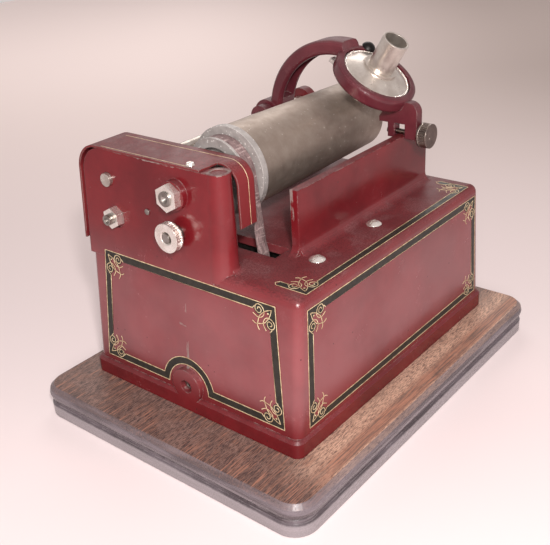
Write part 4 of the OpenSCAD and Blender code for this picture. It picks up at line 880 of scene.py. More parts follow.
class Kit:
    """Geometry Nodes trees and mesh helpers that the new pieces share."""

    def __init__(self) -> None:
        """Builds the trees."""
        self.ribbon_tree = self.build_ribbon()
        self.ring_tree = self.build_ring()

    @staticmethod
    def opened(name: str, sizes: Sequence[tuple[str, str]]) -> tuple[Graph, dict, bpy.types.Node]:
        """Starts a Geometry Nodes tree with a geometry in and out, named sizes and a material.

        Args:
            name: name of the tree.
            sizes: names and socket types of the inputs.

        Returns:
            The graph, its inputs by name, and the last node, Set Material, to be fed.
        """
        tree = bpy.data.node_groups.new(name, "GeometryNodeTree")
        tree.interface.new_socket("Geometry", in_out="INPUT", socket_type="NodeSocketGeometry")
        for key, kind in sizes:
            tree.interface.new_socket(key, in_out="INPUT", socket_type=kind)
        tree.interface.new_socket("Material", in_out="INPUT", socket_type="NodeSocketMaterial")
        tree.interface.new_socket("Geometry", in_out="OUTPUT", socket_type="NodeSocketGeometry")
        g = Graph(tree)
        given = {s.name: s for s in g.add("NodeGroupInput").outputs if s.name}
        real = g.add("GeometryNodeRealizeInstances")
        coat = g.add("GeometryNodeSetMaterial", {"Geometry": real.outputs[0], "Material": given["Material"]})
        g.feed(g.add("NodeGroupOutput").inputs[0], coat.outputs[0])
        return g, given, real

    def build_ribbon(self) -> bpy.types.NodeTree:
        """Builds the tree that sweeps a rounded flat section along drawn strokes.

        Returns:
            The tree.
        """
        g, given, real = self.opened("Ribbon along strokes", [
            ("Across", "NodeSocketFloat"), ("Deep", "NodeSocketFloat"), ("Round", "NodeSocketFloat")])
        path = g.add("GeometryNodeMeshToCurve", {"Mesh": given["Geometry"]})
        up = g.add("GeometryNodeSetCurveNormal", {"Curve": path.outputs[0]}, mode="Z_UP")
        section = g.add("GeometryNodeCurvePrimitiveQuadrilateral", {"Width": given["Across"],
                                                                    "Height": given["Deep"]})
        soft = g.add("GeometryNodeFilletCurve", {"Curve": section.outputs[0], "Count": 2,
                                                 "Radius": given["Round"]}, mode="POLY")
        swept = g.add("GeometryNodeCurveToMesh", {"Curve": up.outputs[0], "Profile Curve": soft.outputs[0],
                                                  "Fill Caps": True})
        g.feed(real.inputs[0], swept.outputs[0])
        return g.tree

    def build_ring(self) -> bpy.types.NodeTree:
        """Builds the tree that sets beads round a ring.

        Returns:
            The tree.
        """
        g, given, real = self.opened("Beads round a ring", [
            ("Count", "NodeSocketInt"), ("Radius", "NodeSocketFloat"), ("Bead", "NodeSocketFloat")])
        ring = g.add("GeometryNodeMeshCircle", {"Vertices": given["Count"], "Radius": given["Radius"]})
        bead = g.add("GeometryNodeMeshIcoSphere", {"Radius": given["Bead"], "Subdivisions": 2})
        smooth = g.add("GeometryNodeSetShadeSmooth", {"Geometry": bead.outputs[0]})
        many = g.add("GeometryNodeInstanceOnPoints", {"Points": ring.outputs[0], "Instance": smooth.outputs[0]})
        g.feed(real.inputs[0], many.outputs[0])
        return g.tree

    def grown(self, name: str, tree: bpy.types.NodeTree, sizes: dict[str, object], material: bpy.types.Material,
              strokes: Sequence[Stroke] = ()) -> bpy.types.Mesh:
        """Runs a tree and gives its result as a plain mesh in its own local millimetres.

        Args:
            name: name of the new mesh.
            tree: the Geometry Nodes tree.
            sizes: values of the tree's inputs by name.
            material: what Set Material puts on.
            strokes: polylines that the tree follows, each with whether it closes.

        Returns:
            The mesh, with its doubles merged and its faces outward.
        """
        source = bpy.data.meshes.new(name + "_strokes")
        points: list[Size3] = []
        edges: list[tuple[int, int]] = []
        for stroke, closed in strokes:
            first = len(points)
            points += [(x, y, 0.0) for x, y in stroke]
            edges += [(i, i + 1) for i in range(first, len(points) - 1)]
            if closed:
                edges.append((len(points) - 1, first))
        source.from_pydata(points, edges, [])
        holder = bpy.data.objects.new(name + "_holder", source)
        bpy.context.scene.collection.objects.link(holder)
        modifier = holder.modifiers.new("grow", "NODES")
        modifier.node_group = tree
        for item in tree.interface.items_tree:
            if item.item_type == "SOCKET" and item.in_out == "INPUT" and item.name != "Geometry":
                modifier[item.identifier] = material if item.name == "Material" else sizes[item.name]
        bpy.context.view_layer.update()
        mesh = bpy.data.meshes.new_from_object(holder.evaluated_get(bpy.context.evaluated_depsgraph_get()))
        mesh.name = name
        holder.modifiers.remove(modifier)
        bpy.data.objects.remove(holder)
        self.tidy(mesh)
        return mesh

    def ribbon(self, name: str, section: Size3, material: bpy.types.Material,
               strokes: Sequence[Stroke]) -> bpy.types.Mesh:
        """Sweeps a flat section along strokes.

        Args:
            name: name of the new mesh.
            section: width across the stroke, depth, and radius of the corners.
            material: the material of the ribbon.
            strokes: polylines in millimetres, each with whether it closes.

        Returns:
            The mesh.
        """
        sizes = dict(zip(("Across", "Deep", "Round"), section))
        return self.grown(name, self.ribbon_tree, sizes, material, strokes)

    @staticmethod
    def tidy(mesh: bpy.types.Mesh) -> None:
        """Merges a mesh's doubles and turns its faces outward.

        Args:
            mesh: the mesh, changed in place.
        """
        work = bmesh.new()
        work.from_mesh(mesh)
        bmesh.ops.remove_doubles(work, verts=work.verts, dist=0.0005)
        bmesh.ops.recalc_face_normals(work, faces=work.faces)
        work.to_mesh(mesh)
        work.free()

    @staticmethod
    def slab(name: str, outer: Sequence[Point], inner: Sequence[Point], low: float, high: float) -> bpy.types.Mesh:
        """Makes a thin flat ring between two outlines with the same number of points.

        Args:
            name: name of the mesh.
            outer: outline outside.
            inner: outline inside.
            low: height of the lower face.
            high: height of the upper face.

        Returns:
            The closed mesh.
        """
        work = bmesh.new()
        rows = [[work.verts.new((x, y, z)) for x, y in line]
                for line, z in ((outer, high), (inner, high), (inner, low), (outer, low))]
        count = len(outer)
        for a in range(4):
            for i in range(count):
                j = (i + 1) % count
                work.faces.new((rows[a][i], rows[a][j], rows[(a + 1) % 4][j], rows[(a + 1) % 4][i]))
        bmesh.ops.recalc_face_normals(work, faces=work.faces)
        mesh = bpy.data.meshes.new(name)
        work.to_mesh(mesh)
        work.free()
        return mesh

    @staticmethod
    def joined(name: str, meshes: Sequence[bpy.types.Mesh], material: bpy.types.Material) -> bpy.types.Object:
        """Joins meshes into one object at the origin.

        Args:
            name: name of the object.
            meshes: meshes already in the shared frame.
            material: the one material of the object.

        Returns:
            The object, linked to the scene.
        """
        work = bmesh.new()
        for mesh in meshes:
            work.from_mesh(mesh)
        whole = bpy.data.meshes.new(name)
        work.to_mesh(whole)
        work.free()
        for mesh in meshes:
            bpy.data.meshes.remove(mesh)
        for polygon in whole.polygons:
            polygon.material_index = 0
        whole.materials.clear()
        whole.materials.append(material)
        piece = bpy.data.objects.new(name, whole)
        bpy.context.scene.collection.objects.link(piece)
        return piece


def in_case(across: Sequence[float], up: Sequence[float], out: Sequence[float],
            origin: Sequence[float]) -> Matrix:
    """Gives the matrix from a local frame in millimetres to the shared frame in metres.

    Args:
        across: local X in the case's frame.
        up: local Y.
        out: local Z.
        origin: local origin, in millimetres of the case's frame.

    Returns:
        The matrix.
    """
    columns = Matrix((across, up, out)).transposed().to_4x4()
    place = Matrix.Translation(CASE_CORNER + Vector(origin) * MM)
    return place @ Matrix.Scale(MM, 4) @ columns


def arc(centre: Point, radius: float, start: float, end: float, steps: int) -> list[Point]:
    """Gives points along an arc, with angles in degrees.

    Args:
        centre: middle of the arc.
        radius: its radius.
        start: first angle.
        end: last angle.
        steps: number of steps between them.

    Returns:
        The points, one more than the steps.
    """
    return [(centre[0] + radius * math.cos(math.radians(start + (end - start) * i / steps)),
             centre[1] + radius * math.sin(math.radians(start + (end - start) * i / steps)))
            for i in range(steps + 1)]


def curve(points: Sequence[Point], steps: int = 8) -> list[Point]:
    """Gives a smooth line through points, each span cut into steps.

    Args:
        points: points that the line goes through.
        steps: steps of a span.

    Returns:
        The line's points.
    """
    if len(points) < 3:
        return list(points)
    ends = [points[0], *points, points[-1]]
    line: list[Point] = []
    for a, b, c, d in zip(ends, ends[1:], ends[2:], ends[3:]):
        for i in range(steps):
            t = i / steps
            line.append(tuple(0.5 * (2 * b[k] + (c[k] - a[k]) * t
                                     + (2 * a[k] - 5 * b[k] + 4 * c[k] - d[k]) * t * t
                                     + (3 * b[k] - a[k] - 3 * c[k] + d[k]) * t ** 3) for k in (0, 1)))
    return line + [points[-1]]


@dataclass
class Panel:
    """A face of the case with a painted band round it and a scroll in each corner."""

    name: str
    place: Matrix
    corners: tuple[Point, Point, Point, Point]
    band: float = 4.3
    line: float = 0.45
    curl: Point = (10.6, 3.95)
    # Start of a curl's coil, what each step takes off it, its first angle, the angle of a step, and the steps
    coil_r: float = 3.05
    coil_step: float = 0.092
    coil_start: float = 212.0
    coil_turn: float = 20.0
    coil_steps: int = 27
    # Distance from the corner at which the scroll meets the inner line
    reach: float = 14.6
    # Dark disc under a curl, and the pinhole that closes it
    eye_r: float = 2.9
    eye_hole: float = 0.1
    eye_rise: float = 0.006
    arch: Optional[Size3] = None
    root: float = -0.2
    sheet: float = 0.03
    leaf: float = 0.05

    def inset(self, by: float) -> list[Point]:
        """Gives the four corners moved inward by a distance.

        Args:
            by: the distance.

        Returns:
            The moved corners.
        """
        count = len(self.corners)
        sides = []
        for i in range(count):
            a, b = Vector(self.corners[i]), Vector(self.corners[(i + 1) % count])
            along = (b - a).normalized()
            sides.append((a + Vector((-along.y, along.x)) * by, along))
        moved = []
        for i in range(count):
            (p, d), (q, e) = sides[i - 1], sides[i]
            t = ((q.x - p.x) * e.y - (q.y - p.y) * e.x) / (d.x * e.y - d.y * e.x)
            moved.append((p.x + d.x * t, p.y + d.y * t))
        return moved

    def bottom(self, by: float, start: Point, end: Point) -> list[Point]:
        """Gives the bottom line between two points, lifted over the winding hole where there is an arch.

        Args:
            by: distance from the outline.
            start: its first point.
            end: its last point.

        Returns:
            The line's points.
        """
        if self.arch is None:
            return [tuple(Vector(start).lerp(Vector(end), i / 20)) for i in range(21)]
        x, y, radius = self.arch
        radius += by
        drop = (start[1] + end[1]) / 2 - y
        lean = math.degrees(math.asin(max(-0.95, min(0.95, drop / radius))))
        return [start, *arc((x, y), radius, 180 - lean, lean, 40), end]

    def loop(self, by: float) -> list[Point]:
        """Gives the closed outline at an inset."""
        a, b, c, d = self.inset(by)
        return [*self.bottom(by, a, b), c, d]

    def corner_frames(self) -> list[tuple[Vector, Vector, Vector]]:
        """Gives each corner with the directions of its two sides.

        Returns:
            Corner, direction ahead and direction back.
        """
        frames = []
        for i in range(4):
            at = Vector(self.corners[i])
            ahead = (Vector(self.corners[(i + 1) % 4]) - at).normalized()
            back = (Vector(self.corners[i - 1]) - at).normalized()
            frames.append((at, ahead, back))
        return frames

    def scroll_strokes(self) -> list[Stroke]:
        """Draws the scroll of one corner: a curl on each side and crossing stems, mirrored about its diagonal.

        Returns:
            The strokes, from the corner along its two sides.
        """
        coil = [arc(self.curl, self.coil_r - self.coil_step * i, self.coil_start + self.coil_turn * i, 0.0, 1)[0]
                for i in range(self.coil_steps)]
        tail = curve([(self.reach, 6.8), (11.6, 8.4), (8.9, 7.6), (7.5, 6.0), (7.3, 4.2), coil[0]], 5)
        stem = curve([(2.4, 2.4), (6.6, 4.1), (10.4, 7.4), (11.8, 11.0), (12.2, 13.4), (11.2, 15.3)], 5)
        hook = curve([(self.reach, self.band), (13.9, 3.5), (13.3, 2.9)], 3)
        half: list[Stroke] = [(tail + coil[1:], False), (stem, False), (hook, False)]
        both = half + [([(v, u) for u, v in stroke], closed) for stroke, closed in half]
        both.append((arc((4.9, 4.9), 0.3, 0, 320, 8), True))
        return both

    def strokes(self) -> list[Stroke]:
        """Draws the two hairlines and the corner scrolls.

        Returns:
            The strokes.
        """
        lines: list[Stroke] = [(self.sharp(self.loop(0.0)), True)]
        a, b, c, d = self.inset(self.band)
        for side in (self.bottom(self.band, a, b), [b, c], [c, d], [d, a]):
            lines.append((self.sharp(self.shortened(side, self.reach - self.band)), False))
        for at, ahead, back in self.corner_frames():
            for stroke, closed in self.scroll_strokes():
                lines.append(([tuple(at + ahead * x + back * y) for x, y in stroke], closed))
        return lines

    @staticmethod
    def shortened(side: Sequence[Point], gap: float) -> list[Point]:
        """Takes a length off both ends of a line.

        Args:
            side: the line.
            gap: the length.

        Returns:
            The shorter line.
        """
        first, last = Vector(side[0]), Vector(side[-1])
        start = first + (Vector(side[1]) - first).normalized() * gap
        end = last + (Vector(side[-2]) - last).normalized() * gap
        along = (last - first).normalized()
        kept = [p for p in side[1:-1]
                if (Vector(p) - first).dot(along) > gap and (last - Vector(p)).dot(along) > gap]
        return [tuple(start), *kept, tuple(end)]

    @staticmethod
    def sharp(line: Sequence[Point], near: float = 0.4) -> list[Point]:
        """Adds points close to each bend, so that a swept line keeps its width between bends.

        Args:
            line: the line.
            near: distance of the new points from a bend.

        Returns:
            The line with its new points.
        """
        out: list[Point] = []
        for i, point in enumerate(line):
            here = Vector(point)
            for other in (line[i - 1], line[(i + 1) % len(line)]):
                step = Vector(other) - here
                if other is line[(i + 1) % len(line)]:
                    out.append(tuple(here))
                if step.length > 3 * near:
                    out.append(tuple(here + step.normalized() * near))
        return out

    def build(self, kit: Kit, palette: Palette) -> tuple[list[bpy.types.Mesh], list[bpy.types.Mesh]]:
        """Makes the dark band and the gold lines.

        Args:
            kit: the shared trees.
            palette: the finishes.

        Returns:
            The meshes of the band and those of the gold.
        """
        bands = [Kit.slab(self.name + "_band", self.loop(0.0), self.loop(self.band), self.root, self.sheet)]
        for at, ahead, back in self.corner_frames():
            for x, y in (self.curl, self.curl[::-1]):
                rims = [arc(tuple(at + ahead * x + back * y), r, 0, 345, 23) for r in (self.eye_r, self.eye_hole)]
                bands.append(Kit.slab("eye", *rims, self.root, self.sheet + self.eye_rise))
        gold = kit.ribbon(self.name + "_lines", (self.line, self.leaf * 2, 0.0), palette.material(palette.gold),
                          self.strokes())
        gold.transform(Matrix.Translation((0.0, 0.0, self.sheet)))
        for mesh in (*bands, gold):
            mesh.transform(self.place)
        return bands, [gold]


@dataclass
class CaseTrim:
    """Painted bands on the ends, the front and the ledge, and a hairline on the gear cover."""

    lean_x: float = 7.0 / 87.0
    lean_y: float = 0.8 / 87.0
    proud: float = 1.5
    length: float = 201.0
    top: float = 87.0
    ledge_x: Range = (17.8, 183.0)
    ledge_y: Range = (5.0, 9.0)
    ledge_leg: float = 19.0
    ledge_tip: float = 1.8
    ledge_line: Size3 = (0.42, 0.1, 0.0)
    cover_top: float = 140.7
    cover_front: float = 51.5
    cover_back: float = 140.0
    cover_foot: float = 107.2
    cover_bend: float = 11.0
    cover_lines: Range = (14.2, 34.2)
    # Ends of the short hairline, along the cover's top
    cover_short: Range = (138.0, 74.0)
    cover_hair: Size3 = (0.1, 0.34, 0.0)

    def panels(self) -> list[Panel]:
        """Gives the painted faces, each in its own flat frame.

        Returns:
            The left end, the right end and the front.
        """
        left = in_case((0, -1, 0), (self.lean_x, 0, 1), (-1, 0, self.lean_x), (self.proud, 0, 0))
        right = in_case((0, 1, 0), (-self.lean_x, 0, 1), (1, 0, self.lean_x), (self.length - self.proud, 0, 0))
        front = in_case((1, 0, 0), (0, self.lean_y, 1), (0, -1, self.lean_y), (0, self.proud, 0))
        return [
            Panel("left_end", left, ((-144.4, 13.4), (-10.8, 13.4), (-17.0, 81.0), (-140.3, 81.0)),
                  arch=(-78.5, 13.0, 14.9)),
            Panel("right_end", right, ((12.7, 34.0), (143.1, 34.0), (140.3, 81.0), (17.0, 81.0))),
            Panel("front_face", front, ((11.9, 13.0), (192.0, 13.0), (187.4, 80.4), (14.6, 80.4))),
        ]

    def ledge_strokes(self) -> list[Stroke]:
        """Draws the lines round the ledge's front band and its two short legs, with a scroll at each corner.

        Returns:
            The strokes.
        """
        (x0, x1), (y0, y1), leg = self.ledge_x, self.ledge_y, self.ledge_leg
        across = y1 - y0
        helper = Panel("ledge", Matrix.Identity(4), ((x0, y0), (x1, y0), (x1, leg), (x0, leg)))
        gap = helper.reach
        tip = [(0.0, leg), (across / 2, leg + self.ledge_tip), (across, leg), (across, gap)]
        half: list[Stroke] = [(tip, False), *helper.scroll_strokes()]
        lines: list[Stroke] = [
            (Panel.sharp([(x0, y0 + leg), (x0, y0), (x1, y0), (x1, y0 + leg)])[2:-1], False),
            ([(x0 + gap, y1), (x1 - gap, y1)], False)]
        for stroke, closed in half:
            lines.append(([(x0 + x, y0 + y) for x, y in stroke], closed))
            lines.append(([(x1 - x, y0 + y) for x, y in stroke], closed))
        return lines

    def ledge_bands(self) -> list[bpy.types.Mesh]:
        """Makes the dark band along the ledge's front and its two legs.

        Returns:
            The meshes.
        """
        (x0, x1), (y0, y1) = self.ledge_x, self.ledge_y
        across, end = y1 - y0, y0 + self.ledge_leg
        seam = 0.05
        meshes = []
        for left, right, low, high in ((x0, x1, y0, y1), (x0, x0 + across, y1, end), (x1 - across, x1, y1, end)):
            x, y = (left + right) / 2, (low + high) / 2
            outer = [(left, low), (right, low), (right, high), (left, high)]
            inner = [(x + u * seam, y + v * seam) for u, v in ((-1, -1), (1, -1), (1, 1), (-1, 1))]
            meshes.append(Kit.slab("ledge_band", outer, inner, Panel.root, Panel.sheet))
        return meshes

    def cover_path(self) -> list[Point]:
        """Gives the line over the gear cover from its back bend, round the front bend and down the leg.

        Returns:
            The line's points.
        """
        bend = (self.cover_front + self.cover_bend, self.cover_top - self.cover_bend)
        return [(self.cover_back, self.cover_top), *arc(bend, self.cover_bend, 90, 180, 12),
                (self.cover_front, self.cover_foot)]

    def build(self, kit: Kit, palette: Palette) -> list[bpy.types.Object]:
        """Makes the trim as two pieces: the dark bands and the gold lines.

        Args:
            kit: the shared trees.
            palette: the finishes.

        Returns:
            The pieces.
        """
        bands: list[bpy.types.Mesh] = []
        golds: list[bpy.types.Mesh] = []
        for panel in self.panels():
            dark, gold = panel.build(kit, palette)
            bands += dark
            golds += gold
        gold_finish = palette.material(palette.gold)
        ledge = in_case((1, 0, 0), (0, 1, 0), (0, 0, 1), (0, 0, self.top))
        lines = kit.ribbon("ledge_lines", self.ledge_line, gold_finish, self.ledge_strokes())
        lines.transform(ledge @ Matrix.Translation((0.0, 0.0, Panel.sheet)))
        golds.append(lines)
        for strip in self.ledge_bands():
            strip.transform(ledge)
            bands.append(strip)
        short = [(along, self.cover_top) for along in self.cover_short]
        for right, path in zip(self.cover_lines, (short, self.cover_path())):
            hair = kit.ribbon("cover_line", self.cover_hair, gold_finish, [(path, False)])
            hair.transform(in_case((0, 1, 0), (0, 0, 1), (1, 0, 0), (right, 0, 0)))
            golds.append(hair)
        pieces = [Kit.joined("painted_bands", bands, palette.material(palette.band)),
                  Kit.joined("gold_lines", golds, gold_finish)]
        for piece in pieces:
            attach(piece, Body.FRAME.value)
        return pieces


@dataclass
class Belt:
    """Flat leather belt round both pulleys, with a lapped and sewn joint on its front run."""

    upper: Point = (81.0, 125.3)
    lower: Point = (66.0, 41.0)
    upper_r: float = 18.8
    lower_r: float = 12.8
    thick: float = 1.6
    wide: float = 7.0
    corner: float = 0.45
    middle: float = 47.8
    lap_from: float = 14.0
    lap_long: float = 34.0
    lap_thick: float = 1.1
    lap_wide: float = 6.7
    lap_corner: float = 0.35
    # Distances from the lap's end over which it thins out
    skive: Size3 = (0.4, 4.0, 8.0)

    def tangents(self) -> tuple[float, float]:
        """Gives the angles, in degrees, of the front and rear runs' tangent points.

        Returns:
            The two angles.
        """
        run = Vector(self.upper) - Vector(self.lower)
        rise = math.degrees(math.atan2(run.y, run.x))
        off = math.degrees(math.acos((self.lower_r - self.upper_r) / run.length))
        return rise + off, rise - off

    def path(self) -> list[Point]:
        """Gives the closed middle line of the belt.

        Returns:
            The line's points.
        """
        front, rear = self.tangents()
        half = self.thick / 2
        over = arc(self.upper, self.upper_r + half, front, rear, 40)
        under = arc(self.lower, self.lower_r + half, rear, front - 360, 30)
        return self.spaced(over, under)

    @staticmethod
    def spaced(over: list[Point], under: list[Point]) -> list[Point]:
        """Joins two arcs by straight runs that are cut into short steps.

        Args:
            over: arc round the upper pulley.
            under: arc round the lower one.

        Returns:
            The closed line's points.
        """
        line: list[Point] = []
        for bend, ahead in ((over, under), (under, over)):
            line += bend
            line += [tuple(Vector(bend[-1]).lerp(Vector(ahead[0]), i / 16)) for i in range(1, 16)]
        return line

    def lap_path(self) -> list[Point]:
        """Gives the middle line of the lap, thinned into the belt at both ends.

        Returns:
            The line's points.
        """
        front, _ = self.tangents()
        out = Vector((math.cos(math.radians(front)), math.sin(math.radians(front))))
        up = Vector((out.y, -out.x))
        foot = Vector(self.lower) + out * (self.lower_r + self.thick)
        rise = self.lap_thick / 2
        marks = list(zip(self.skive, (-rise - 0.1, rise * 0.5, rise)))
        marks += [(self.lap_long - s, h) for s, h in reversed(marks)]
        return [tuple(foot + up * (self.lap_from + s) + out * (h - 0.05)) for s, h in marks]

    def build(self, kit: Kit, palette: Palette) -> bpy.types.Object:
        """Makes the belt in place of the plain CAD loop.

        Args:
            kit: the shared trees.
            palette: the finishes.

        Returns:
            The belt.
        """
        leather = palette.for_slot(Slot.LEATHER)
        place = in_case((0, 1, 0), (0, 0, 1), (1, 0, 0), (self.middle, 0, 0))
        loop = kit.ribbon("belt_loop", (self.thick, self.wide, self.corner), leather, [(self.path(), True)])
        lap = kit.ribbon("belt_lap", (self.lap_thick, self.lap_wide, self.lap_corner), leather,
                         [(self.lap_path(), False)])
        for mesh in (loop, lap):
            mesh.transform(place)
        piece = Kit.joined("leather_belt", [loop, lap], leather)
        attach(piece, Body.FRAME.value)
        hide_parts("drive_belt")
        return piece


@dataclass
class SoundBox:
    """Beading round the cover of the sound box and the soft rings inside it."""

    centre: Size3 = (157.0, 54.75, 156.0)
    lean: float = 32.5
    bead: float = 0.42
    bead_pitch: float = 2.15
    bead_r: float = 20.25
    bead_z: float = 1.4
    ring: Size3 = (2.7, 0.96, 0.4)
    ring_r: float = 15.8
    ring_z: Range = (-1.2, 0.4)

    def place(self) -> Matrix:
        """Gives the matrix of the sound box's own frame, in millimetres.

        Returns:
            The matrix.
        """
        tilt = math.radians(self.lean)
        return in_case((1, 0, 0), (0, math.cos(tilt), math.sin(tilt)), (0, -math.sin(tilt), math.cos(tilt)),
                       self.centre)

    def build(self, kit: Kit, palette: Palette) -> list[bpy.types.Object]:
        """Makes the beading and the soft rings.

        Args:
            kit: the shared trees.
            palette: the finishes.

        Returns:
            The pieces.
        """
        return [self.beading(kit, palette), self.soft_rings(kit, palette)]

    def beading(self, kit: Kit, palette: Palette) -> bpy.types.Object:
        """Makes the row of beads on the cover's rim.

        Args:
            kit: the shared trees.
            palette: the finishes.

        Returns:
            The beading.
        """
        nickel = palette.for_slot(Slot.NICKEL)
        count = int(math.tau * self.bead_r / (self.bead_pitch * self.bead))
        sizes = {"Count": count, "Radius": self.bead_r, "Bead": self.bead}
        beads = kit.grown("beading", kit.ring_tree, sizes, nickel)
        beads.transform(self.place() @ Matrix.Translation((0.0, 0.0, self.bead_z)))
        piece = Kit.joined("cover_beading", [beads], nickel)
        for polygon in piece.data.polygons:
            polygon.use_smooth = True
        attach(piece, Body.ARM.value)
        return piece

    def soft_rings(self, kit: Kit, palette: Palette) -> bpy.types.Object:
        """Makes the two rubber rings that grip the diaphragm, round at their edges.

        Args:
            kit: the shared trees.
            palette: the finishes.

        Returns:
            The rings, as one piece.
        """
        rubber = palette.for_slot(Slot.RUBBER)
        rings = []
        for height in self.ring_z:
            ring = kit.ribbon("soft_ring", self.ring, rubber, [(arc((0.0, 0.0), self.ring_r, 0, 357, 119), True)])
            ring.transform(self.place() @ Matrix.Translation((0.0, 0.0, height)))
            rings.append(ring)
        piece = Kit.joined("rubber_rings", rings, rubber)
        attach(piece, Body.ARM.value)
        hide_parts("gaskets")
        return piece


@dataclass
class BrakePad:
    """Leather pad on the brake lever, pressed a little hollow where the disc rubs it."""

    low: Size3 = (90.5, 29.33, 25.75)
    high: Size3 = (96.5, 31.32, 28.75)
    hollow: float = 0.25
    slack: float = 0.04
    corner: float = 0.4

    def build(self, kit: Kit, palette: Palette) -> bpy.types.Object:
        """Makes the pad in place of the plain CAD block.

        Args:
            kit: the shared trees.
            palette: the finishes.

        Returns:
            The pad.
        """
        leather = palette.for_slot(Slot.LEATHER)
        size = Vector(self.high) - Vector(self.low)
        middle = (Vector(self.high) + Vector(self.low)) / 2
        steps = [(-0.5 + i / 12) for i in range(13)]
        path = [(s * (size.x - self.slack), -self.hollow * math.cos(math.pi * s) / 2) for s in steps]
        section = (size.y - self.hollow, size.z - self.slack, self.corner)
        pad = kit.ribbon("pad", section, leather, [(path, False)])
        pad.transform(in_case((1, 0, 0), (0, 1, 0), (0, 0, 1), middle))
        piece = Kit.joined("leather_pad", [pad], leather)
        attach(piece, Body.BRAKE.value)
        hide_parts("brake_pad")
        return piece


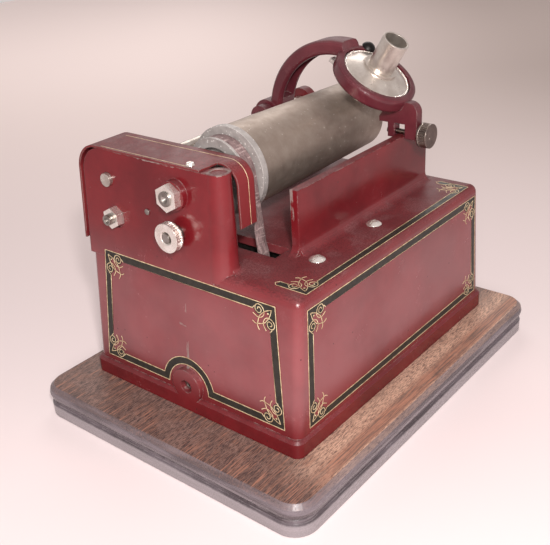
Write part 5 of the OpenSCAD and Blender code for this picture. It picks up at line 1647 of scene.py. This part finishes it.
@dataclass
class Studio:
    """Floor, lamps and camera."""

    eye: Size3 = (-0.3648, -0.2926, 0.3014)
    right: Size3 = (0.62346, -0.78001, -0.05358)
    up: Size3 = (0.38079, 0.24308, 0.89214)
    # Focal length and width of the image, in its pixels
    focal: float = 859.0
    image: int = 550
    aim: Size3 = (0.0, 0.0, 0.08)
    lamp_tone: Size3 = (1.0, 0.96, 0.93)
    floor_size: float = 3.0
    floor_z: float = -0.0004
    # Directions on the floor, away from the front left and towards the right
    floor_away: Size3 = (0.76, 0.65, 0.0)
    floor_across: Size3 = (0.62, -0.78, 0.0)
    # The floor's colour darkens away from the camera, and much more towards the far right: painted shade.
    floor_near: Colour = rgb(0.86, 0.745, 0.752)
    floor_far: Colour = rgb(0.82, 0.69, 0.66)
    floor_shade: Colour = rgb(0.40, 0.325, 0.30)
    floor_lift: Range = (0.06, 0.42)
    room_tone: Colour = rgb(0.86, 0.78, 0.76)
    room_light: float = 0.32
    room_seen: float = 0.75
    # Name, place, size and power of each lamp
    lamps: tuple[tuple[str, Size3, float, float], ...] = (
        ("front softbox", (-0.82, -0.69, 0.66), 0.45, 11.4),
        ("flash lamp", (-0.38, -0.36, 0.42), 0.03, 2.2),
        ("rear fill", (0.9, 0.7, 0.9), 0.8, 4.0),
    )

    def build(self) -> None:
        """Sets up everything round the object."""
        self.camera()
        self.floor()
        self.world()
        for lamp in self.lamps:
            self.lamp(*lamp)
        bpy.context.scene.view_settings.view_transform = "Standard"

    def camera(self) -> None:
        """Puts the camera where the photograph was taken from."""
        data = bpy.data.cameras.new("camera")
        data.sensor_width = 36.0
        data.lens = self.focal * data.sensor_width / self.image
        data.clip_start = 0.01
        data.clip_end = 20.0
        camera = bpy.data.objects.new("camera", data)
        across = Vector(self.right).normalized()
        back = across.cross(Vector(self.up)).normalized()
        above = back.cross(across)
        matrix = Matrix((across, above, back)).transposed().to_4x4()
        matrix.translation = Vector(self.eye)
        camera.matrix_world = matrix
        bpy.context.scene.collection.objects.link(camera)
        bpy.context.scene.camera = camera

    def floor(self) -> None:
        """Makes the pale floor, darker away from the camera and towards the far right in painted shade."""
        half = self.floor_size / 2
        mesh = bpy.data.meshes.new("floor")
        corners = [(x * half, y * half, self.floor_z) for x, y in ((-1, -1), (1, -1), (1, 1), (-1, 1))]
        mesh.from_pydata(corners, [], [(0, 1, 2, 3)])
        material, g, shader = Finish("pale floor").opened()
        away = g.vector("DOT_PRODUCT", g.coords(), self.floor_away).outputs["Value"]
        away = g.math("ADD", away, g.times(g.noise(g.coords(), 3.0, 3.0), 0.1))
        across = g.vector("DOT_PRODUCT", g.coords(), self.floor_across).outputs["Value"]
        # Painted shade: darker towards the far right, and a little darker away from the camera.
        gloom = g.times(g.remap(away, 0.15, 0.8), g.remap(across, -0.25, 0.42))
        tone = g.mix(g.remap(away, -0.12, 0.75), self.floor_near, self.floor_far)
        tone = g.mix(gloom, tone, self.floor_shade)
        glow = g.times(self.seen(g), g.remap(away, 0.0, 1.1, *self.floor_lift))
        g.supply(shader, Base_Color=tone, Emission_Color=tone, Emission_Strength=glow, Roughness=0.8)
        mesh.materials.append(material)
        piece = bpy.data.objects.new("floor", mesh)
        bpy.context.scene.collection.objects.link(piece)
        piece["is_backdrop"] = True

    @staticmethod
    def seen(g: Graph) -> bpy.types.NodeSocket:
        """Gives 1 where the camera sees a surface, straight or through metal and glass.

        Args:
            g: graph of the surface.

        Returns:
            The value.
        """
        path = g.add("ShaderNodeLightPath").outputs
        mirrored = g.math("MAXIMUM", path["Is Glossy Ray"], path["Is Transmission Ray"])
        return g.math("MAXIMUM", path["Is Camera Ray"], mirrored)

    def world(self) -> None:
        """Makes the pale surroundings that light the object softly."""
        world = bpy.data.worlds.new("pale room")
        world.use_nodes = True
        g = Graph(world.node_tree)
        back = next(n for n in world.node_tree.nodes if n.type == "BACKGROUND")
        back.inputs["Color"].default_value = self.room_tone
        g.feed(back.inputs["Strength"], g.remap(self.seen(g), 0.0, 1.0, self.room_light, self.room_seen))
        bpy.context.scene.world = world

    def lamp(self, name: str, place: Sequence[float], size: float, power: float) -> None:
        """Adds one soft lamp that points at the object.

        Args:
            name: name of the lamp.
            place: where it stands.
            size: its width.
            power: its watts.
        """
        data = bpy.data.lights.new(name, "AREA")
        data.size = size
        data.energy = power
        data.color = self.lamp_tone
        lamp = bpy.data.objects.new(name, data)
        lamp.location = place
        aim = Vector(self.aim) - Vector(place)
        lamp.rotation_euler = aim.to_track_quat("-Z", "Y").to_euler()
        bpy.context.scene.collection.objects.link(lamp)


class Phonograph:
    """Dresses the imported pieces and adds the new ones."""

    def __init__(self) -> None:
        """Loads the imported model."""
        self.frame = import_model()
        self.cad_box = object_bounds()
        self.palette = Palette()
        self.kit = Kit()

    def dress(self) -> None:
        """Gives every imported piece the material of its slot."""
        for row in self.frame["record"]["subparts"]:
            piece = self.frame["nodes"][row["node"]]
            material = self.palette.for_node(row["node"], Slot(row["material_slot"]))
            for slot in piece.material_slots:
                slot.material = material
            LOG.info("dressed %s in %s", row["node"], material.name)

    def build(self) -> None:
        """Makes the new pieces in order."""
        self.dress()
        for piece in CaseTrim().build(self.kit, self.palette):
            LOG.info("made %s", piece.name)
        LOG.info("made %s", Belt().build(self.kit, self.palette).name)
        for piece in SoundBox().build(self.kit, self.palette):
            LOG.info("made %s", piece.name)
        LOG.info("made %s", BrakePad().build(self.kit, self.palette).name)


def main() -> None:
    """Builds the studio and the object, in order."""
    logging.basicConfig(level=logging.INFO, format="%(message)s")
    machine = Phonograph()
    Studio().build()
    machine.build()


if __name__ == "__main__":
    main()
